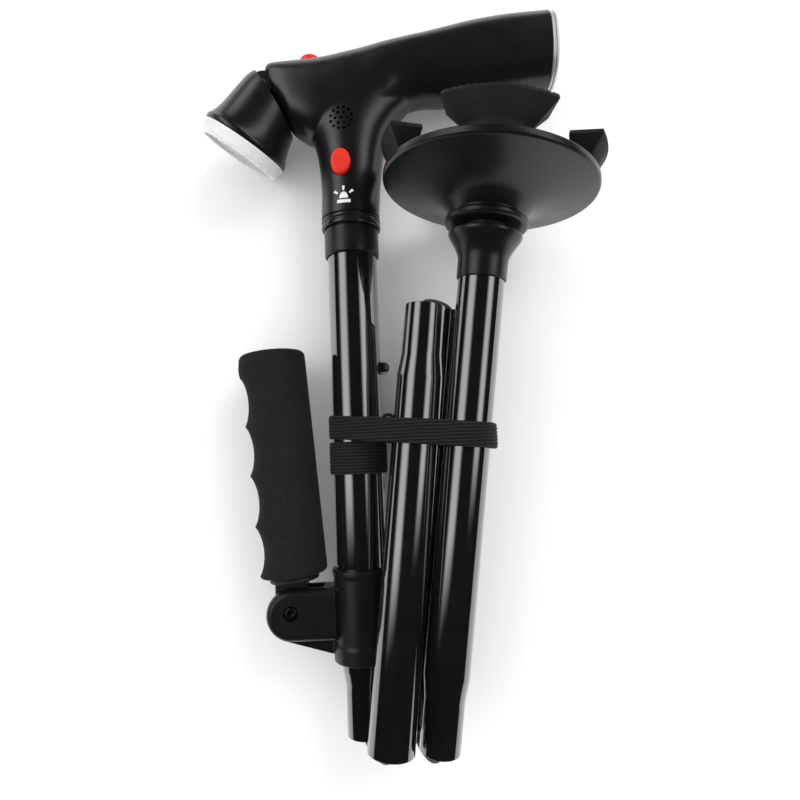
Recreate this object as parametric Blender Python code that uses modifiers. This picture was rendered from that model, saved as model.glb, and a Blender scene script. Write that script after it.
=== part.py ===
"""Folding walking stick: lamp and alarm T-handle, folding side grip, four-footed swivel base.

Dimensions are in mm and become metres as meshes are made. The stick is folded: +Z runs up the
upper tube, whose axis is x = y = 0 while building, and the other three tubes stand beside it
towards +X. -Y is the front. The lamp and the side grip are on the -X side. At the end everything
moves so that ORIGIN becomes the world origin.
"""

import math

import bmesh
import bpy
from mathutils import Matrix, Vector

MM = 0.001
AXIS_X, AXIS_Y, AXIS_Z = Vector((1, 0, 0)), Vector((0, 1, 0)), Vector((0, 0, 1))
GAP = 0.3  # running gap between neighbours
MERGE_DISTANCE = 0.00001  # m, welds revolved points that meet on the axis

# tubes
TUBE_R, TUBE_WALL = 9.5, 0.8
NECK_R, NECK_LEN, NECK_CONE = 8.4, 20.5, 9.5
TUBE_BORE_R, NECK_BORE_R = TUBE_R - TUBE_WALL, NECK_R - TUBE_WALL
CHAMFER = 0.4  # on the neck mouths
WALL_STEP = 0.4  # how far the bore's cone is shifted from the outer cone
UPPER_R, UPPER_IN_R = 11.0, 9.95
UPPER_BOTTOM, UPPER_TOP = 34.6, 238.0
UPPER_FIT_R = UPPER_R + GAP  # bore of whatever fits round the upper tube
INNER_TIP, INNER_CONE_TOP, INNER_TOP = 3.6, 30.5, 196.0
HOLE_TOP, HOLE_PITCH, HOLE_COUNT = 158.7, 25.0, 4
SECOND_BOTTOM, SECOND_TOP = Vector((10.3, -19.0, 4.4)), Vector((31.22, -16.33, 181.8))
THIRD_BOTTOM, THIRD_TOP = Vector((20.8, 6.5, 5.0)), Vector((42.45, 1.27, 182.6))
FOURTH_BOTTOM, FOURTH_REF = Vector((29.7, -13.0, 1.8)), Vector((53.34, -24.2, 183.7))
FOURTH_OVER = 21.0  # tube carried past the reference point, inside the boot
SECOND_UP = (SECOND_TOP - SECOND_BOTTOM).normalized()
THIRD_UP = (THIRD_TOP - THIRD_BOTTOM).normalized()
FOURTH_UP = (FOURTH_REF - FOURTH_BOTTOM).normalized()

# collars on the upper tube
SLEEVE_BOTTOM, SLEEVE_TOP = 208.9, 221.2
LIP_BOTTOM, LIP_TOP = 221.5, 226.2

# handle
HANDLE_WALL = 2.2
CAP_X = 92.6  # face that carries the battery door
ALARM_AT = Vector((-2.7, 0.0, 248.2))
SPEAKER_AT = Vector((-1.9, 0.0, 267.7))
LIGHT_AT = Vector((-16.5, 0.0, 302.3))
SWITCH_HALF = 3.0

# lamp head
LAMP_RIM = Vector((-47.02, 2.0, 266.66))
LAMP_AXIS = Vector((-0.579, 0.163, -0.799)).normalized()  # out through the lens
LAMP_R = 20.2
LAMP_DRAWN_R = 22.7  # widest radius in the lamp profiles, drawn in to LAMP_R
FLARE_START, FLARE_LENGTH = -2.0, 20.0
LAMP_HINGE = Vector((-36.9, 0.0, 288.6))
HINGE_R, HINGE_ROOM_R, HINGE_BORE_R, HINGE_PIN_R = 5.2, 5.6, 1.9, 1.6
KNUCKLE_HALF = 6.5
EAR_INNER, EAR_OUTER = 6.9, 9.9  # distance from the middle plane
BORE_REACH = 14.0

# side grip
BRACKET_BOTTOM, BRACKET_TOP = 34.3, 72.8
BRACKET_R, BRACKET_BAND_R, BAND_IN_R = 12.5, 12.9, 12.0
GRIP_PIVOT = Vector((-29.8, 0.0, 55.9))
PIVOT_BORE_R = 2.3
ARM_R, ARM_DROP, ARM_HALF, ARM_ROOT_X = 10.8, 1.2, 9.0, -11.6
GRIP_BASE = Vector((-28.0, 0.0, 54.0))
TONGUE_X, TONGUE_Z = -1.64, 2.04  # the pivot, seen from the grip's own base
TONGUE_R, TONGUE_HALF = 7.0, 4.0
GRIP_LEAN = math.radians(4.69)
GRIP_BOTTOM, GRIP_TOP = 16.6, 113.4

# base
BASE_R, BASE_LEVEL, BALL_LEVEL = 44.0, 46.0, 29.0
BASE_TILT = Vector((0.0, 0.075, 0.0))
BALL_CENTRE = FOURTH_REF + FOURTH_UP * BALL_LEVEL
BASE_RISE = BASE_LEVEL - BALL_LEVEL
DISC_TOP = BASE_RISE + 1.0  # above the ball's centre, like the next value
PAD_TOP = 13.4  # above the disc's top face
PAD_TURN = -4.5  # degrees

# strap: (x, z) of two points on its slanting centreline
STRAP_LEFT, STRAP_RIGHT, STRAP_HALF = (-13.5, 133.2), (58.2, 126.0), 5.1
STRAP_PROBE = 130  # how far up each tube its x is read
STRAP_CLEAR, STRAP_THICK = 0.55, 1.4
STRAP_POINTS = 64

ORIGIN = Vector((-12.1, 0.0, BRACKET_BOTTOM))  # on the bracket's lower face

# base colour, roughness, metallic
MATERIALS = {
    "gloss_black": ((0.012, 0.012, 0.014), 0.12, 0.0),
    "matte_black": ((0.018, 0.018, 0.02), 0.5, 0.0),
    "foam_black": ((0.02, 0.02, 0.021), 0.95, 0.0),
    "rubber_black": ((0.022, 0.022, 0.023), 0.8, 0.0),
    "webbing_black": ((0.02, 0.02, 0.02), 0.9, 0.0),
    "red_plastic": ((0.75, 0.03, 0.02), 0.35, 0.0),
    "silver_plastic": ((0.6, 0.6, 0.62), 0.35, 0.4),
    "clear_plastic": ((0.85, 0.87, 0.88), 0.08, 0.0),
    "chrome": ((0.75, 0.75, 0.76), 0.1, 1.0),
    "steel": ((0.5, 0.5, 0.52), 0.3, 1.0),
    "board_green": ((0.03, 0.2, 0.07), 0.5, 0.0),
    "led_yellow": ((0.9, 0.75, 0.2), 0.4, 0.0),
    "cell_jacket": ((0.35, 0.36, 0.38), 0.3, 0.2),
    "cord_grey": ((0.1, 0.1, 0.11), 0.9, 0.0),
}

for old in list(bpy.data.objects):
    bpy.data.objects.remove(old, do_unlink=True)
model = bpy.data.collections.new("folding_walking_stick")
cutters = bpy.data.collections.new("cutters")
bpy.context.scene.collection.children.link(model)
bpy.context.scene.collection.children.link(cutters)
cutters.hide_render = True


# ---------------------------------------------------------------- shared builders
# A piece made without a kind of material is a hidden helper for the booleans.
def add_material(obj, kind):
    colour, roughness, metallic = MATERIALS[kind]
    material = bpy.data.materials.new(obj.name)
    material.use_nodes = True
    shader = material.node_tree.nodes["Principled BSDF"]
    shader.inputs["Base Color"].default_value = (*colour, 1.0)
    shader.inputs["Roughness"].default_value = roughness
    shader.inputs["Metallic"].default_value = metallic
    obj.data.materials.append(material)


def place(origin, axis=AXIS_Z, side=AXIS_X):
    """A matrix at origin whose +Z runs along axis, with +X as near side as it can be."""
    z = Vector(axis).normalized()
    x = Vector(side)
    if abs(x.normalized().dot(z)) > 0.99:
        x = AXIS_Y
    x = (x - x.dot(z) * z).normalized()
    y = z.cross(x)
    turned = Matrix((x, y, z)).transposed().to_4x4()
    return Matrix.Translation(Vector(origin) * MM) @ turned


def put(name, mesh, kind, at):
    obj = bpy.data.objects.new(name, mesh)
    (model if kind else cutters).objects.link(obj)
    if at is not None:
        obj.matrix_world = at
    if kind:
        add_material(obj, kind)
    else:
        obj.hide_render = True
        obj.display_type = "WIRE"
    return obj


def revolve(name, profile, kind=None, at=None, steps=28):
    """Turns a profile of (radius, height) about +Z. It runs down its outer side.

    A profile that starts on the axis also ends there. Any other is closed into a loop.
    """
    mesh = bpy.data.meshes.new(name)
    points = [(radius * MM, 0.0, z * MM) for radius, z in profile]
    edges = [(i, i + 1) for i in range(len(points) - 1)]
    if profile[0][0] > 0:
        edges.append((len(points) - 1, 0))
    mesh.from_pydata(points, edges, [])
    obj = put(name, mesh, kind, at)
    screw = obj.modifiers.new("turn", "SCREW")
    screw.axis = "Z"
    screw.steps = screw.render_steps = steps
    screw.use_merge_vertices = True
    screw.merge_threshold = MERGE_DISTANCE
    screw.use_smooth_shade = True
    return obj


def rod(name, radius, start, end, kind=None, steps=24):
    start, end = Vector(start), Vector(end)
    length = (end - start).length
    profile = [(0, length), (radius, length), (radius, 0), (0, 0)]
    return revolve(name, profile, kind, place(start, end - start), steps)


def cross_rod(name, radius, centre, start_y, end_y, kind=None, steps=24):
    """A rod along Y through centre's x and z."""
    ends = [(centre.x, y, centre.z) for y in (start_y, end_y)]
    return rod(name, radius, *ends, kind, steps)


def ring(name, outer, inner, start, end, kind=None, steps=28):
    start, end = Vector(start), Vector(end)
    length = (end - start).length
    profile = [(outer, length), (outer, 0), (inner, 0), (inner, length)]
    return revolve(name, profile, kind, place(start, end - start), steps)


def upright_ring(name, outer, inner, low, high, kind=None):
    """A ring round the upper tube's axis."""
    return ring(name, outer, inner, (0, 0, low), (0, 0, high), kind)


def block(name, low, high, kind=None, at=None):
    mesh = bpy.data.meshes.new(name)
    shape = bmesh.new()
    bmesh.ops.create_cube(shape, size=1.0)
    for vert in shape.verts:
        vert.co = [(low[i] + (vert.co[i] + 0.5) * (high[i] - low[i])) * MM for i in range(3)]
    shape.to_mesh(mesh)
    shape.free()
    return put(name, mesh, kind, at)


def loft(name, sections, kind=None, at=None, loop=False, smooth=True):
    """Joins sections of equally many points into one closed skin, facing out."""
    count = len(sections[0])
    rows = len(sections)
    points = [tuple(c * MM for c in point) for section in sections for point in section]
    faces = []
    for row in range(rows if loop else rows - 1):
        low, high = row * count, (row + 1) % rows * count
        for i in range(count):
            j = (i + 1) % count
            faces.append((low + i, low + j, high + j, high + i))
    if not loop:
        faces.append(tuple(reversed(range(count))))
        faces.append(tuple(range((rows - 1) * count, rows * count)))
    mesh = bpy.data.meshes.new(name)
    mesh.from_pydata(points, [], faces)
    shape = bmesh.new()
    shape.from_mesh(mesh)
    bmesh.ops.recalc_face_normals(shape, faces=shape.faces)
    shape.to_mesh(mesh)
    shape.free()
    if smooth:
        mesh.polygons.foreach_set("use_smooth", [len(p.vertices) == 4 for p in mesh.polygons])
    return put(name, mesh, kind, at)


def plate(name, outline, half_wide, at=None):
    """A helper with an outline of (x, z), as wide as given to either side along Y."""
    return loft(name, [[(x, y, z) for x, z in outline] for y in (-half_wide, half_wide)], at=at)


def half_circle(x, z, radius, start):
    """13 points of (x, z), half a turn on from the start angle."""
    angles = [start + math.pi * i / 12 for i in range(13)]
    return [(x + radius * math.cos(t), z + radius * math.sin(t)) for t in angles]


def oval(centre, half_one, half_two, axis_one, axis_two, power=2.4, count=24):
    """A rounded section: centre plus two half sizes along two directions."""
    points = []
    for i in range(count):
        turn = 2 * math.pi * i / count
        c, s = math.cos(turn), math.sin(turn)
        one = math.copysign(abs(c) ** (2 / power), c) * half_one
        two = math.copysign(abs(s) ** (2 / power), s) * half_two
        points.append(tuple(Vector(centre) + axis_one * one + axis_two * two))
    return points


def combine(obj, operation, others):
    for other in others:
        modifier = obj.modifiers.new(operation.lower(), "BOOLEAN")
        modifier.operation = operation
        modifier.solver = "EXACT"
        modifier.object = other


def cut(obj, *others):
    combine(obj, "DIFFERENCE", others)


def join(obj, *others):
    combine(obj, "UNION", others)


# ---------------------------------------------------------------- handle
# x, underside, top, half width
HANDLE_STATIONS = [
    (-36.6, 289.5, 297.6, 7.0),
    (-35.2, 285.4, 300.2, 9.6),
    (-30.0, 276.4, 301.0, 12.0),
    (-24.0, 268.4, 301.4, 13.4),
    (-12.0, 262.5, 302.3, 14.6),
    (3.0, 262.5, 305.2, 15.0),
    (17.6, 272.5, 308.4, 15.0),
    (25.0, 278.0, 309.8, 14.8),
    (35.0, 280.8, 311.7, 14.8),
    (45.0, 280.6, 313.9, 15.0),
    (59.0, 281.6, 316.9, 15.4),
    (75.0, 283.2, 318.9, 15.8),
    (CAP_X - 0.4, 284.6, 319.9, 16.0),
]
# z, left (-X), right (+X), half width
STEM_STATIONS = [
    (226.5, -13.1, 13.1, 13.1),
    (231.0, -13.0, 13.2, 13.1),
    (238.0, -12.7, 13.7, 13.1),
    (246.0, -13.0, 14.4, 13.3),
    (254.0, -13.8, 15.4, 13.6),
    (260.0, -15.0, 16.6, 13.9),
    (266.0, -17.0, 18.6, 14.2),
    (272.0, -20.0, 22.4, 14.4),
    (282.0, -24.0, 30.0, 14.0),
    (292.0, -20.0, 26.0, 13.0),
]
END_X, END_LOW, END_HIGH, END_HALF = HANDLE_STATIONS[-1]
HOLLOW_OVERRUN = 4.0  # carries the hollow out through the battery end

# The lamp head and the handle part along one slanting plane.
# Its frame has +X up the slant and +Z into the handle.
SPLIT_LOW, SPLIT_HIGH = Vector((-24.4, 0, 266.6)), Vector((-35.9, 0, 286.6))
SPLIT_ALONG = (SPLIT_HIGH - SPLIT_LOW).normalized()
SPLIT_FRAME = place(SPLIT_LOW, (SPLIT_ALONG.z, 0, -SPLIT_ALONG.x), SPLIT_ALONG)

# the lamp knuckle's root in the handle's nose, and the room cut for it
ROOT_LOW, ROOT_HIGH = (-35.9, -4.5, 284.8), (-27.5, 4.5, 293.2)
ROOT_ROOM_LOW, ROOT_ROOM_HIGH = (-37.0, -4.9, 284.4), (-27.1, 4.9, 293.6)


def handle_sections(stations, inset):
    return [
        oval((x, 0, (low + high) / 2), half - inset, (high - low) / 2 - inset, AXIS_Y, AXIS_Z)
        for x, low, high, half in stations
    ]


def stem_sections(stations, inset):
    return [
        oval(
            ((left + right) / 2, 0, z),
            (right - left) / 2 - inset,
            half - inset,
            AXIS_X,
            AXIS_Y,
            power=2.1,
        )
        for z, left, right, half in stations
    ]


def alarm_oval(y, half_wide, half_high):
    return oval((ALARM_AT.x, y, ALARM_AT.z), half_wide, half_high, AXIS_X, AXIS_Z, power=2.0)


def build_handle_shells():
    """Two hollow halves that meet on the plane y = 0."""
    hollow_rows = HANDLE_STATIONS[4:-1] + [(END_X + HOLLOW_OVERRUN, END_LOW, END_HIGH, END_HALF)]
    shared_cutters = (
        block("face_trim", (-9, -60, -60), (60, 60, 0.2), at=SPLIT_FRAME),
        loft("grip_hollow", handle_sections(hollow_rows, HANDLE_WALL)),
        loft("stem_hollow", stem_sections(STEM_STATIONS[2:-1], HANDLE_WALL)),
        rod("tube_bore", UPPER_FIT_R, (0, 0, 216), (0, 0, 240), steps=32),
        cross_rod("nose_cut", HINGE_ROOM_R, LAMP_HINGE, -10.4, 10.4),
        rod("light_hole", 5.3, (LIGHT_AT.x, 0, 292.0), (LIGHT_AT.x, 0, 312)),
    )
    front_holes = (
        loft("alarm_hole", [alarm_oval(y, 4.75, 6.1) for y in (-20.0, -8.0)]),
        cross_rod("speaker_hole", 7.3, SPEAKER_AT, -20, -9),
    )
    root_room = block("root_room", ROOT_ROOM_LOW, ROOT_ROOM_HIGH)
    # each of these takes away the half that its shell leaves out
    behind = block("front_side", (-60, -GAP / 2, 200), (120, 40, 340))
    ahead = block("back_side", (-60, -40, 200), (120, GAP / 2, 340))
    for name, other_half, holes in (
        ("handle_front", behind, front_holes),
        ("handle_back", ahead, ()),
    ):
        shell = loft(name, handle_sections(HANDLE_STATIONS, 0.0), "matte_black")
        join(shell, loft(name + "_stem", stem_sections(STEM_STATIONS, 0.0)))
        cut(shell, other_half, *shared_cutters, *holes, root_room)


def build_collars():
    """The grooved ring under the handle and the plain sleeve below it."""
    lip_profile = [
        (13.2, LIP_TOP), (13.2, LIP_TOP - 1.8), (12.8, LIP_TOP - 2.3), (13.3, LIP_TOP - 2.8),
        (13.3, LIP_BOTTOM), (UPPER_FIT_R, LIP_BOTTOM), (UPPER_FIT_R, LIP_TOP),
    ]
    revolve("lip_ring", lip_profile, "gloss_black")
    sleeve_profile = [
        (12.1, SLEEVE_TOP), (12.1, SLEEVE_BOTTOM + 0.6), (11.8, SLEEVE_BOTTOM),
        (UPPER_FIT_R, SLEEVE_BOTTOM), (UPPER_FIT_R, SLEEVE_TOP),
    ]
    revolve("collar_sleeve", sleeve_profile, "matte_black")


def end_sections(stations):
    """Sections of the handle's end from (distance past CAP_X, inset)."""
    return handle_sections([(CAP_X + x, END_LOW, END_HIGH, END_HALF) for x, _ in stations], 0.0) \
        if all(inset == 0 for _, inset in stations) else [
            handle_sections([(CAP_X + x, END_LOW, END_HIGH, END_HALF)], inset)[0]
            for x, inset in stations
        ]


def build_battery_end():
    """Silver frame, hinged battery door and its latch."""
    frame = loft("end_frame", end_sections([(0, 0.5), (1.2, 0.2)]), "silver_plastic")
    cut(frame, loft("end_frame_hole", end_sections([(-1, 3.4), (3, 3.4)])))
    door_stations = [(1.5, 0.2), (2.4, 0.3), (3.2, 1.6), (3.6, 5.0)]
    loft("battery_door", end_sections(door_stations), "silver_plastic")
    latch_stations = ((3.9, 0.0), (4.9, 0.0), (5.3, 0.6))  # distance past CAP_X, inset
    latch_sections = [
        oval((CAP_X + x, 0, 301.0), 3.0 - inset, 4.0 - inset, AXIS_Y, AXIS_Z, power=3.0, count=12)
        for x, inset in latch_stations
    ]
    loft("door_latch", latch_sections, "matte_black")


# ---------------------------------------------------------------- handle electronics
CELL_CENTRES = ((-5.7, 302.9), (5.7, 302.9), (0.0, 292.8))  # y, z
# distance from the grille's centre, number of holes, turn in hole pitches
GRILLE_RINGS = ((0.0, 1, 0.0), (2.7, 6, 0.0), (5.0, 12, 0.5))
# y, half width, half height
ALARM_STATIONS = ((-15.1, 3.6, 4.9), (-14.6, 4.2, 5.5), (-13.2, 4.4, 5.75), (-9.8, 4.4, 5.75))


def build_power_and_board():
    for n, (y, z) in enumerate(CELL_CENTRES):
        rod(f"battery_cell_{n + 1}", 5.15, (42.0, y, z), (86.5, y, z), "cell_jacket", 20)
    tray = block("battery_tray", (39.0, -7.0, 288.4), (88.0, 7.0, 294.4), "matte_black")
    y, z = CELL_CENTRES[-1]
    cut(tray, rod("tray_groove", 5.5, (41.2, y, z), (95.0, y, z)))
    block("control_board", (3.0, -9.5, 290.0), (34.0, 9.5, 291.6), "board_green")
    block("main_chip", (13.0, -4.0, 291.9), (21.0, 4.0, 293.6), "matte_black")


def build_speaker():
    cross_rod("buzzer", 6.6, SPEAKER_AT, -11.2, -4.2, "matte_black")
    grille = cross_rod("speaker_grille", 7.0, SPEAKER_AT, -14.0, -12.4, "matte_black", 32)
    for n, (reach, count, offset) in enumerate(GRILLE_RINGS):
        for i in range(count):
            turn = 2 * math.pi * (i + offset) / count
            centre = SPEAKER_AT + Vector((reach * math.cos(turn), 0, reach * math.sin(turn)))
            cut(grille, cross_rod(f"grille_hole_{n}_{i}", 0.62, centre, -15.5, -11.5, steps=6))


def build_buttons():
    """Red alarm and light buttons with the switches behind them."""
    loft("alarm_button", [alarm_oval(*station) for station in ALARM_STATIONS], "red_plastic")
    block(
        "alarm_switch",
        (ALARM_AT.x - SWITCH_HALF, -7.9, ALARM_AT.z - SWITCH_HALF),
        (ALARM_AT.x + SWITCH_HALF, -4.4, ALARM_AT.z + SWITCH_HALF),
        "matte_black",
    )
    light_profile = [
        (0, 2.2), (2.0, 2.1), (3.6, 1.6), (4.7, 0.6), (5.0, -0.4), (5.0, -4.0), (0, -4.0),
    ]
    revolve("light_button", light_profile, "red_plastic", place(LIGHT_AT), 24)
    block(
        "light_switch",
        (LIGHT_AT.x - SWITCH_HALF, -SWITCH_HALF, 293.0),
        (LIGHT_AT.x + SWITCH_HALF, SWITCH_HALF, 297.0),
        "matte_black",
    )


# ---------------------------------------------------------------- lamp head
# (radius, height) from the rim along the lamp's axis, before flared()
HOUSING_PROFILE = [
    (0, -20.0), (13.6, -18.0), (17.3, -7.2), (20.6, -0.8), (20.8, 1.2), (22.3, 1.2),
    (22.7, 0.6), (22.7, -0.6), (20.9, -3.4), (19.5, -7.2), (18.4, -12.0), (17.2, -18.0),
    (15.9, -24.0), (14.6, -27.0), (8.0, -28.5), (0, -28.5),
]
BEZEL_PROFILE = [
    (19.2, 1.6), (19.2, 7.6), (20.4, 7.6), (21.6, 6.4), (22.2, 4.6), (22.5, 2.2), (22.3, 1.6),
]
LENS_PROFILE = [(0, 6.9), (10.0, 6.7), (18.8, 6.2), (18.8, 4.6), (10.0, 5.0), (0, 5.2)]
REFLECTOR_PROFILE = [
    (18.6, 4.2), (18.6, 3.4), (16.0, -2.0), (12.0, -8.0), (6.8, -13.4),
    (4.2, -13.4), (10.8, -8.0), (15.0, -2.0), (17.6, 4.2),
]


def flared(profile):
    """Draws the head's rim in to LAMP_R, and leaves its root as wide as the handle's nose."""
    rim = LAMP_R / LAMP_DRAWN_R
    points = []
    for radius, z in profile:
        share = min(1.0, max(0.0, (FLARE_START - z) / FLARE_LENGTH))
        points.append((radius * (rim + (1 - rim) * share), z))
    return points


def lamp_turned(name, profile, kind):
    frame = place(LAMP_RIM, LAMP_AXIS, AXIS_Y)
    return revolve(name, flared(profile), kind, frame, 32)


def behind_rim(distance):
    return LAMP_RIM - LAMP_AXIS * distance


def build_lamp_housing():
    """The flared cup, trimmed to the split plane, with an ear either side of the knuckle."""
    housing = lamp_turned("lamp_housing", HOUSING_PROFILE, "matte_black")
    room_half = KNUCKLE_HALF + GAP
    cut(
        housing,
        block("lamp_trim", (-60, -60, -0.27), (60, 60, 60), at=SPLIT_FRAME),
        cross_rod("knuckle_room", HINGE_ROOM_R, LAMP_HINGE, -room_half, room_half),
    )
    for side in (-1, 1):
        start, end = side * EAR_INNER, side * EAR_OUTER
        join(housing, cross_rod(f"lamp_ear_{side}", HINGE_R, LAMP_HINGE, start, end))
    cut(
        housing,
        cross_rod("ear_bore", HINGE_BORE_R, LAMP_HINGE, -BORE_REACH, BORE_REACH, steps=16),
        rod("wire_hole", 3.0, behind_rim(17), behind_rim(32), steps=16),
    )


def build_lamp_hinge():
    knuckle = cross_rod(
        "lamp_knuckle", HINGE_R, LAMP_HINGE, -KNUCKLE_HALF, KNUCKLE_HALF, "matte_black"
    )
    join(knuckle, block("knuckle_root", ROOT_LOW, ROOT_HIGH))
    bore = cross_rod("knuckle_bore", HINGE_BORE_R, LAMP_HINGE, -BORE_REACH, BORE_REACH, steps=16)
    cut(knuckle, bore)
    cross_rod("lamp_pin", HINGE_PIN_R, LAMP_HINGE, -9.6, 9.6, "steel", 16)


def build_lamp_optics():
    lamp_turned("lamp_bezel", BEZEL_PROFILE, "clear_plastic")
    lamp_turned("lamp_lens", LENS_PROFILE, "clear_plastic")
    lamp_turned("lamp_reflector", REFLECTOR_PROFILE, "chrome")
    rod("led_board", 9.5, behind_rim(15.2), behind_rim(13.8), "board_green")
    chip_profile = [(0, 3.6), (1.8, 3.0), (2.5, 1.4), (2.5, 0), (0, 0)]
    chip_frame = place(behind_rim(13.5), LAMP_AXIS, AXIS_Y)
    revolve("led_chip", chip_profile, "led_yellow", chip_frame, 16)


# ---------------------------------------------------------------- height adjustment
# x, z from the button's level
SPRING_PATH = [
    (6.3, 5.0), (6.3, -5.0), (4.6, -20.0), (2.6, -27.5), (-0.4, -30.6),
    (-3.8, -28.6), (-5.8, -22.0), (-7.2, -10.0), (-7.6, 3.0),
]
SPRING_HALF_THICK, SPRING_HALF_WIDE = 0.25, 2.4


def build_upper_tube():
    upper = upright_ring(
        "upper_tube", UPPER_R, UPPER_IN_R, UPPER_BOTTOM, UPPER_TOP, "gloss_black"
    )
    for n in range(HOLE_COUNT):
        z = HOLE_TOP - n * HOLE_PITCH
        cut(upper, rod(f"height_hole_{n}", 3.7, (6.0, 0, z), (14.0, 0, z), steps=20))


def build_inner_tube():
    """Slides in the upper tube; its lower end narrows to a neck."""
    neck_top = INNER_TIP + NECK_LEN
    profile = [
        (TUBE_R, INNER_TOP), (TUBE_R, INNER_CONE_TOP), (NECK_R, neck_top),
        (NECK_R, INNER_TIP + CHAMFER), (NECK_R - CHAMFER, INNER_TIP), (NECK_BORE_R, INNER_TIP),
        (NECK_BORE_R, neck_top), (TUBE_BORE_R, INNER_CONE_TOP - 0.3), (TUBE_BORE_R, INNER_TOP),
    ]
    inner = revolve("inner_tube", profile, "gloss_black")
    cut(inner, rod("button_hole", 3.5, (6.0, 0, HOLE_TOP), (12.0, 0, HOLE_TOP), steps=20))


def build_snap_button():
    profile = [(0, 15.6), (1.4, 15.3), (2.5, 14.5), (3.1, 13.2), (3.1, 7.0), (0, 7.0)]
    revolve("snap_button", profile, "chrome", place((0, 0, HOLE_TOP), AXIS_X, AXIS_Y), 20)


def build_snap_spring():
    """A flat strip bent in the XZ plane."""
    across = Vector((0, SPRING_HALF_WIDE, 0))
    sections = []
    for i, (x, z) in enumerate(SPRING_PATH):
        before_x, before_z = SPRING_PATH[max(i - 1, 0)]
        after_x, after_z = SPRING_PATH[min(i + 1, len(SPRING_PATH) - 1)]
        along = Vector((after_x - before_x, 0, after_z - before_z)).normalized()
        side = Vector((along.z, 0, -along.x)) * SPRING_HALF_THICK
        at = Vector((x, 0, HOLE_TOP + z))
        corners = (at - side - across, at + side - across, at + side + across, at - side + across)
        sections.append(corners)
    loft("snap_spring", sections, "steel", smooth=False)


# ---------------------------------------------------------------- side grip
GRIP_FRAME = place(GRIP_BASE, (-math.sin(GRIP_LEAN), 0, math.cos(GRIP_LEAN)))
# distance up the grip, reach on the finger side (-X)
FINGERS = [
    (GRIP_BOTTOM, 12.2), (18.8, 14.0), (21.5, 13.6), (27.5, 11.9), (35.0, 13.9),
    (38.6, 14.4), (45.0, 13.4), (52.0, 11.9), (59.0, 14.0), (62.0, 14.3),
    (67.0, 13.5), (73.0, 12.0), (80.0, 14.1), (83.0, 14.3), (88.0, 13.0),
    (94.0, 12.6), (100.5, 14.7), (106.0, 15.3), (111.6, 14.4), (GRIP_TOP, 12.0),
]
FOAM_BACK, FOAM_SIDE, FOAM_ROUNDING = 14.4, 14.0, 2.4
GUSSET_OUTLINE = [  # x, z
    (-33.8, 45.9), (-34.8, 43.4), (-14.0, 37.4), (ARM_ROOT_X, 37.4), (ARM_ROOT_X, 45.9),
]


def build_bracket():
    """A banded sleeve on the upper tube, with a slotted arm for the grip's tongue."""
    bracket = upright_ring(
        "bracket", BRACKET_R, 9.0, BRACKET_BOTTOM, BRACKET_TOP - 0.2, "matte_black"
    )
    arm_z = GRIP_PIVOT.z - ARM_DROP
    arm_outline = half_circle(GRIP_PIVOT.x, arm_z, ARM_R, math.pi / 2)
    arm_outline += [(ARM_ROOT_X, arm_z - ARM_R), (ARM_ROOT_X, arm_z + ARM_R)]
    bands = (
        ("bracket_band", BRACKET_BOTTOM, BRACKET_BOTTOM + 7.3),
        ("bracket_top_band", BRACKET_TOP - 3.0, BRACKET_TOP),
    )
    for name, low, high in bands:
        join(bracket, upright_ring(name, BRACKET_BAND_R, BAND_IN_R, low, high))
    join(
        bracket,
        plate("bracket_arm", arm_outline, ARM_HALF),
        plate("bracket_gusset", GUSSET_OUTLINE, 3.0),
    )
    cut(
        bracket,
        block("tongue_slot", (-60, -4.4, GRIP_PIVOT.z - 9.8), (-16.6, 4.4, 90)),
        cross_rod("bracket_screw_bore", PIVOT_BORE_R, GRIP_PIVOT, -20, 20, steps=20),
        cross_rod("bracket_recess", 4.4, GRIP_PIVOT, -20, -7.0),
        rod("bracket_bore", UPPER_FIT_R, (0, 0, 10), (0, 0, 90), steps=32),
    )


def build_pivot():
    """The screw, its head to the front, and a washer at the back."""
    profile = [
        (0, 9.2), (2.6, 9.0), (3.8, 8.2), (3.8, 7.2), (2.0, 7.2), (2.0, -7.8), (0, -7.8),
    ]
    revolve("pivot_screw", profile, "steel", place(GRIP_PIVOT, -AXIS_Y), 20)
    faces = [(GRIP_PIVOT.x, y, GRIP_PIVOT.z) for y in (9.3, 10.2)]
    ring("pivot_washer", 3.9, PIVOT_BORE_R, *faces, "steel", 20)


def build_grip_core():
    profile = [
        (0, 104.0), (5.4, 104.0), (6.2, 102.5), (6.6, 16.4), (8.2, 16.2), (8.2, 14.0), (0, 14.0),
    ]
    core = revolve("grip_core", profile, "matte_black", GRIP_FRAME, 24)
    outline = half_circle(TONGUE_X, TONGUE_Z, TONGUE_R, math.pi)
    outline += [(TONGUE_X + TONGUE_R, 15.2), (TONGUE_X - 6.2, 15.2)]
    join(core, plate("core_tongue", outline, TONGUE_HALF, GRIP_FRAME))
    cut(core, cross_rod("core_bore", PIVOT_BORE_R, GRIP_PIVOT, -20, 20, steps=20))


def foam_section(along, reach):
    """Reaches -X by the finger outline; the back and sides are drawn in near both ends."""
    end = min(along - GRIP_BOTTOM, GRIP_TOP - along)
    inset = max(0.0, FOAM_ROUNDING - end)
    points = []
    for i in range(24):
        turn = 2 * math.pi * i / 24
        c, s = math.cos(turn), math.sin(turn)
        x_reach = FOAM_BACK - inset if c > 0 else reach
        points.append((x_reach * c, (FOAM_SIDE - inset) * s, along))
    return points


def build_foam_grip():
    sections = [foam_section(along, reach) for along, reach in FINGERS]
    foam = loft("foam_grip", sections, "foam_black", GRIP_FRAME)
    bore_profile = [(0, 106.0), (6.9, 104.5), (6.95, 10.0), (0, 10.0)]
    cut(foam, revolve("foam_bore", bore_profile, at=GRIP_FRAME, steps=24))


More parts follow.
